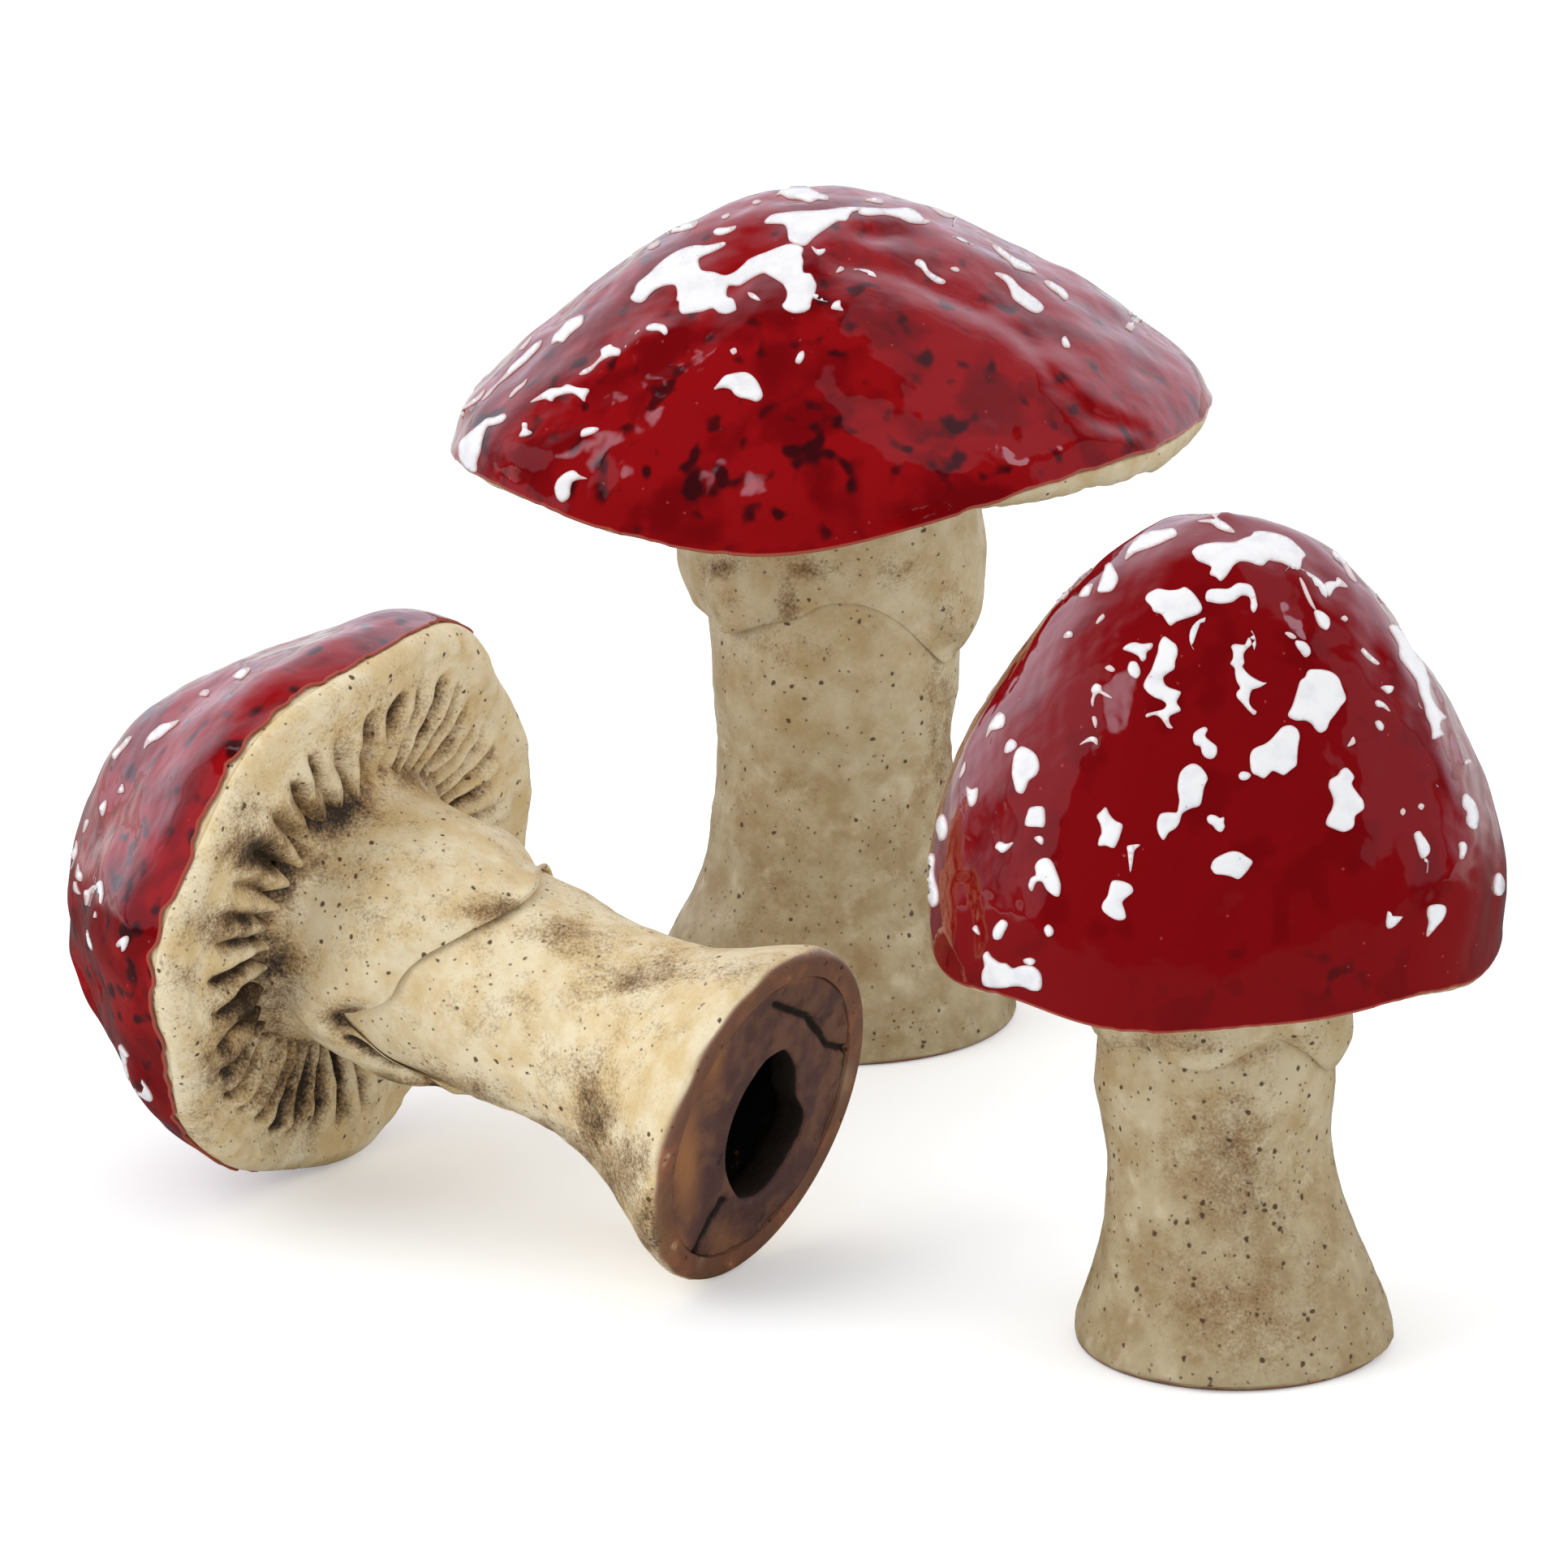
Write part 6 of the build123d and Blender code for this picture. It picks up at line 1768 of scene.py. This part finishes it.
class MushroomsLyingSizes(bpy.types.PropertyGroup):
    """Sizes of the lying mushroom, measured as if it stood"""

    rim_height: length("Rim Height", "Height of the glazed rim over the foot", 80.5)
    cap_depth: length("Cap Depth", "Height of the dome over its rim", 46.6)
    cap_radius: length("Cap Radius", "Mean radius of the rim", 48.5)
    cap_shift: spot("Cap Shift", "Middle of the cap from the middle of the foot", (-0.4, -3.0))
    apex_shift: spot("Apex Shift", "Top of the dome from the middle of the cap", (0.4, 3.0))
    gill_rise: length("Gill Rise", "How far the gills rise towards the stem", 3.5)
    foot_radius: length("Foot Radius", "Radius of the flared foot", 27.4)
    waist_radius: length("Waist Radius", "Radius of the stem at its waist", 17.9)
    neck_radius: length("Neck Radius", "Radius of the stem under the cap", 19.0)
    stake_radius: length("Stake Radius", "Radius of the stake hole", 12.0)
    disc_radius: length("Disc Radius", "Radius of the brown disc in the foot", 23.371)
    waist_length: length("Waist Length", "Straight stem between its flare and its neck", 10.98)
    neck_length: length("Neck Length", "Straight neck behind the skirt", 36.42)
    skirt_top_gap: length("Skirt Gap", "From the gills to where the drop of the hem starts", 4.0)
    skirt_thickness: length("Skirt Thickness", "Thickness of the skirt where it bulges", 3.2)
    gill_count: IntProperty(name="Gills", description="Number of gills", default=40, min=3)


class MushroomsClay(bpy.types.PropertyGroup):
    """Clay, slip and glaze, alike on all three mushrooms"""

    cap_wall: length("Cap Wall", "Clay wall of the dome", 5.0)
    plate_thickness: length("Plate Thickness", "Gill plate round the spigot", 5.0)
    stem_wall: length("Stem Wall", "Clay wall of the stem at its waist", 5.0)
    bore_ledge: length("Bore Ledge", "Bore of the stem beyond the stake hole", 3.0)
    slip_gap: length("Slip Gap", "Slip between two luted pieces", 0.12)
    skirt_gap: length("Skirt Slip", "Slip between the neck and the skirt", 0.25)
    glaze_thickness: length("Glaze Thickness", "Fired red glaze on the dome", 0.8)
    glaze_bond: length("Glaze Bond", "Between the clay dome and its glaze", 0.05)
    glaze_edge: length("Glaze Edge", "Height over the rim where the glaze has run thin", 0.4)
    pad_thickness: length("Pad Thickness", "White pads at their middle", 0.36)
    pad_edge: length("Pad Edge", "White pads at their border", 0.18)
    pad_shoulder: length("Pad Shoulder", "Rounded border of the white pads", 0.4)
    pad_sink: length("Pad Sink", "How far the pads reach into the red glaze", 0.15)
    lip_inset: length("Lip Inset", "Bare clay lip behind the glaze line", 0.5)
    lip_under_width: length("Lip Width", "Rounded lip under the rim", 4.5)
    lip_under_drop: length("Lip Drop", "Underside of the lip below the glaze line", 2.6)
    gill_margin: length("Gill Margin", "Plain band outside the gills", 8.0)
    gill_depth: length("Gill Depth", "Depth of the grooves between the gills", 2.8)
    spigot_shoulder: length("Spigot Shoulder", "Ledge of the neck under the plate", 3.5)
    spigot_stand: length("Spigot Stand", "Spigot above the plate", 2.0)
    spigot_wall: length("Spigot Wall", "Clay wall of the spigot", 4.5)
    disc_thickness: length("Disc Thickness", "Brown disc in the foot", 7.0)
    foot_bevel: length("Foot Bevel", "Worn edge of the foot", 1.2)
    dome_bumps: length("Dome Bumps", "Hand-formed unevenness of the domes", 0.55)


class MushroomsColours(bpy.types.PropertyGroup):
    """Colours and finishes"""

    bright_red: colour("Bright Red", "Red glaze where it is thin", linear(150, 12, 17))
    deep_red: colour("Deep Red", "Red glaze where it has pooled", linear(112, 4, 9))
    mottle: colour("Mottle", "Blackish blotches in the red glaze", linear(44, 8, 12))
    red_speck: colour("Red Speck", "Small pale specks in the red glaze", linear(205, 90, 90))
    glaze_edge: colour("Glaze Edge", "Red glaze where it has run thin", linear(172, 88, 72))
    white: colour("White", "White glaze pads", linear(239, 239, 241))
    white_shade: colour("White Shade", "White pads where they are thinner", linear(224, 224, 228))
    pad_edge: colour("Pad Edge", "Border of the white pads", linear(214, 165, 160))
    clay: colour("Clay", "Khaki stoneware of the standing stems", linear(184, 168, 134))
    clay_shade: colour(
        "Clay Shade", "Khaki stoneware where its glaze is thin", linear(156, 132, 92)
    )
    cream: colour("Cream", "Cream stoneware", linear(238, 224, 190))
    cream_shade: colour(
        "Cream Shade", "Cream stoneware where its glaze is thin", linear(222, 196, 146)
    )
    clay_light: colour("Light Clay", "Stoneware where its glaze is thick", linear(236, 224, 196))
    worn_clay: colour("Worn Clay", "Toasted clay at the bottom of the stems", linear(152, 98, 68))
    wash: colour("Wash", "Thin oxide wash", linear(134, 100, 60))
    oxide: colour("Oxide", "Iron oxide in the hollows", linear(44, 34, 26))
    speck: colour("Speck", "Iron specks", linear(80, 54, 32))
    foot_brown: colour("Foot Brown", "Brown clay of the foot", linear(128, 88, 68))
    foot_purple: colour("Foot Purple", "Purple-brown clay of the foot", linear(98, 66, 62))
    foot_orange: colour(
        "Foot Orange", "Orange-brown clay at the disc's border", linear(182, 122, 72)
    )
    floor: colour("Floor", "The pale floor", linear(247, 249, 252))
    floor_reflection: colour(
        "Floor Reflection", "The floor before the set as the glaze shows it", (0.1, 0.1, 0.1)
    )
    studio: colour("Studio", "Tint of the studio as the glaze shows it", (0.88, 0.86, 1.0))
    glaze_roughness: number("Glaze Roughness", "Roughness of the red glaze", 0.05, min=0.0, max=1.0)
    pad_roughness: number("Pad Roughness", "Roughness of the white pads", 0.3, min=0.0, max=1.0)
    clay_roughness: number("Clay Roughness", "Roughness of the stoneware", 0.42, min=0.0, max=1.0)


class MushroomsStage(bpy.types.PropertyGroup):
    """Camera, lights and floor"""

    camera_target: FloatVectorProperty(
        name="Camera Target", description="Spot on the floor that the camera looks at",
        default=(0.00164, 0.18775, 0.0), precision=5, unit="LENGTH", subtype="XYZ",
    )
    camera_distance: length("Camera Distance", "Distance of the camera from its target", 2140)
    camera_pitch: FloatProperty(
        name="Camera Pitch", description="How far the camera looks down",
        default=math.radians(18), subtype="ANGLE",
    )
    camera_lens: number("Lens", "Focal length in millimetres", 283.118)
    camera_sensor: number("Sensor", "Sensor width in millimetres", 36.0)
    floor_size: length("Floor Size", "Side of the floor", 12000)
    key_power: number("Key Power", "Light from the left", 9.0, unit="POWER")
    fill_power: number("Fill Power", "Light from the right", 4.5, unit="POWER")
    top_power: number("Top Power", "Light from above", 3.0, unit="POWER")
    sky_strength: number("Sky Strength", "Even light from all round", 0.72)
    floor_lift: number("Floor Lift", "Glow that keeps the floor white", 0.28)


# Operators


def each_mushroom(scene, maker, slot):
    """Make one kind of piece for each mushroom."""
    for prefix in PREFIXES:
        maker(Mushroom(scene, prefix), material_for(scene, slot))


class MUSHROOMS_OT_add_red_glazes(bpy.types.Operator):
    """Add the thick red glaze of each dome"""

    bl_idname = "mushrooms.add_red_glazes"
    bl_label = "Add Red Glazes"

    def execute(self, context):
        each_mushroom(context.scene, add_red_glaze, "red_glaze")
        return {"FINISHED"}


class MUSHROOMS_OT_add_cap_shells(bpy.types.Operator):
    """Add the clay wall of each dome"""

    bl_idname = "mushrooms.add_cap_shells"
    bl_label = "Add Cap Shells"

    def execute(self, context):
        each_mushroom(context.scene, add_cap_shell, "stoneware")
        return {"FINISHED"}


class MUSHROOMS_OT_add_gill_plates(bpy.types.Operator):
    """Add the gilled underside of each cap"""

    bl_idname = "mushrooms.add_gill_plates"
    bl_label = "Add Gill Plates"

    def execute(self, context):
        each_mushroom(context.scene, add_gill_plate, "stoneware")
        return {"FINISHED"}


class MUSHROOMS_OT_add_stems(bpy.types.Operator):
    """Add the hollow stems"""

    bl_idname = "mushrooms.add_stems"
    bl_label = "Add Stems"

    def execute(self, context):
        each_mushroom(context.scene, add_stem, "stoneware")
        return {"FINISHED"}


class MUSHROOMS_OT_add_skirts(bpy.types.Operator):
    """Add the skirts round the necks"""

    bl_idname = "mushrooms.add_skirts"
    bl_label = "Add Skirts"

    def execute(self, context):
        each_mushroom(context.scene, add_skirt, "stoneware")
        return {"FINISHED"}


class MUSHROOMS_OT_add_foot_rings(bpy.types.Operator):
    """Add the brown discs in the feet"""

    bl_idname = "mushrooms.add_foot_rings"
    bl_label = "Add Foot Rings"

    def execute(self, context):
        each_mushroom(context.scene, add_foot_ring, "foot_clay")
        return {"FINISHED"}


class MUSHROOMS_OT_add_white_patches(bpy.types.Operator):
    """Add the raised white pads, once the red glazes are there"""

    bl_idname = "mushrooms.add_white_patches"
    bl_label = "Add White Patches"

    def execute(self, context):
        each_mushroom(context.scene, add_white_patches, "white_glaze")
        return {"FINISHED"}


def add_area(title, place, target, size, power):
    """A square soft light at a place, turned to a target."""
    lamp = bpy.data.lights.new(title, "AREA")
    lamp.shape = "RECTANGLE"
    lamp.size, lamp.size_y = size
    lamp.energy = power
    light = bpy.data.objects.new(title, lamp)
    light.location = place
    light.rotation_mode = "QUATERNION"
    light.rotation_quaternion = (Vector(target) - Vector(place)).to_track_quat("-Z", "Y")
    light.visible_glossy = False
    bpy.context.collection.objects.link(light)


def add_floor(scene):
    """The pale floor, which keeps the soft shadows and fades into the white background."""
    settings, colours = scene.mushrooms_stage, scene.mushrooms_colours
    half = settings.floor_size / 2
    mesh = bpy.data.meshes.new("floor")
    corners = [(-half, -half, 0), (half, -half, 0), (half, half, 0), (-half, half, 0)]
    mesh.from_pydata(corners, [], [(0, 1, 2, 3)])
    n = material_nodes("floor")
    path = n.put("LightPath")
    depth = n.put("SeparateXYZ", Vector=n.spot).outputs["Y"]
    dark = n.times(path.outputs["Is Glossy Ray"], n.fall(depth, *FLOOR_FADE))
    tint = n.blend(dark, solid(colours.floor), solid(colours.floor_reflection))
    paint = n.put("BsdfDiffuse", Color=tint)
    lift = n.times(path.outputs["Is Camera Ray"], settings.floor_lift)
    glow = n.put("Emission", Color=(1, 1, 1, 1), Strength=lift)
    n.surface(n.put("AddShader", n0=paint.outputs[0], n1=glow.outputs[0]))
    mesh.materials.append(n.owner)
    floor = bpy.data.objects.new("floor", mesh)
    bpy.context.collection.objects.link(floor)


def add_sky(scene):
    """White behind the set, an even light on it and a bright studio for its reflections."""
    settings = scene.mushrooms_stage
    n = Nodes(bpy.data.worlds.new("studio"), "World", "Generated")
    scene.world = n.owner
    path = n.put("LightPath")
    glare = STUDIO_GLOW
    for way, inner, outer, strength in STUDIO_BOXES:
        glare = n.math("ADD", glare, n.times(n.towards(way, inner, outer), strength))
    even = n.put("Background", Color=(1, 1, 1, 1), Strength=settings.sky_strength)
    studio = n.put("Background", Color=solid(scene.mushrooms_colours.studio), Strength=glare)
    white = n.put("Background", Color=(1, 1, 1, 1), Strength=1.0)
    glossy, camera = path.outputs["Is Glossy Ray"], path.outputs["Is Camera Ray"]
    lit = n.put("MixShader", n0=glossy, n1=even.outputs[0], n2=studio.outputs[0])
    n.surface(n.put("MixShader", n0=camera, n1=lit.outputs[0], n2=white.outputs[0]))


def add_camera(scene):
    """The camera of the photograph."""
    settings = scene.mushrooms_stage
    eye = Eye(settings)
    camera = bpy.data.cameras.new("camera")
    camera.lens = settings.camera_lens
    camera.sensor_width = settings.camera_sensor
    camera.clip_end = 100
    camera.dof.use_dof = False
    holder = bpy.data.objects.new("camera", camera)
    holder.location = eye.spot
    holder.rotation_mode = "QUATERNION"
    holder.rotation_quaternion = Vector(eye.ahead).to_track_quat("-Z", "Y")
    bpy.context.collection.objects.link(holder)
    scene.camera = holder


class MUSHROOMS_OT_add_stage(bpy.types.Operator):
    """Add the floor, the lights, the sky and the camera"""

    bl_idname = "mushrooms.add_stage"
    bl_label = "Add Stage"

    def execute(self, context):
        scene = context.scene
        settings = scene.mushrooms_stage
        add_floor(scene)
        add_sky(scene)
        for title, place, target, size in LAMPS:
            add_area(title, place, target, size, getattr(settings, title + "_power"))
        add_camera(scene)
        scene.view_settings.view_transform = "Standard"
        return {"FINISHED"}


class VIEW3D_PT_mushrooms(bpy.types.Panel):
    """The mushrooms' pieces and the stage"""

    bl_idname = "VIEW3D_PT_mushrooms"
    bl_label = "Stoneware Mushrooms"
    bl_space_type = "VIEW_3D"
    bl_region_type = "UI"
    bl_category = "Mushrooms"

    def draw(self, context):
        for operator in OPERATORS:
            self.layout.operator(operator.bl_idname)
        for title in GROUPS:
            box = self.layout.box()
            box.label(text=title.replace("mushrooms_", "").title())
            group = getattr(context.scene, title)
            for key in group.bl_rna.properties.keys():
                if key not in ("rna_type", "name"):
                    box.prop(group, key)


OPERATORS = (
    MUSHROOMS_OT_add_red_glazes,
    MUSHROOMS_OT_add_cap_shells,
    MUSHROOMS_OT_add_gill_plates,
    MUSHROOMS_OT_add_stems,
    MUSHROOMS_OT_add_skirts,
    MUSHROOMS_OT_add_foot_rings,
    MUSHROOMS_OT_add_white_patches,
    MUSHROOMS_OT_add_stage,
)
GROUPS = {
    "mushrooms_wide": MushroomsWideSizes,
    "mushrooms_bell": MushroomsBellSizes,
    "mushrooms_lying": MushroomsLyingSizes,
    "mushrooms_clay": MushroomsClay,
    "mushrooms_colours": MushroomsColours,
    "mushrooms_stage": MushroomsStage,
}


def register():
    """Register the sizes, the operators and the panel."""
    for title, group in GROUPS.items():
        bpy.utils.register_class(group)
        setattr(bpy.types.Scene, title, PointerProperty(type=group))
    for item in (*OPERATORS, VIEW3D_PT_mushrooms):
        bpy.utils.register_class(item)


def unregister():
    """Take the panel, the operators and the sizes away again."""
    for item in (VIEW3D_PT_mushrooms, *reversed(OPERATORS)):
        bpy.utils.unregister_class(item)
    for title, group in reversed(GROUPS.items()):
        delattr(bpy.types.Scene, title)
        bpy.utils.unregister_class(group)


def main():
    """Build the set and the stage."""
    register()
    bpy.ops.mushrooms.add_red_glazes()
    bpy.ops.mushrooms.add_cap_shells()
    bpy.ops.mushrooms.add_gill_plates()
    bpy.ops.mushrooms.add_stems()
    bpy.ops.mushrooms.add_skirts()
    bpy.ops.mushrooms.add_foot_rings()
    bpy.ops.mushrooms.add_white_patches()
    bpy.ops.mushrooms.add_stage()


if __name__ == "__main__":
    main()
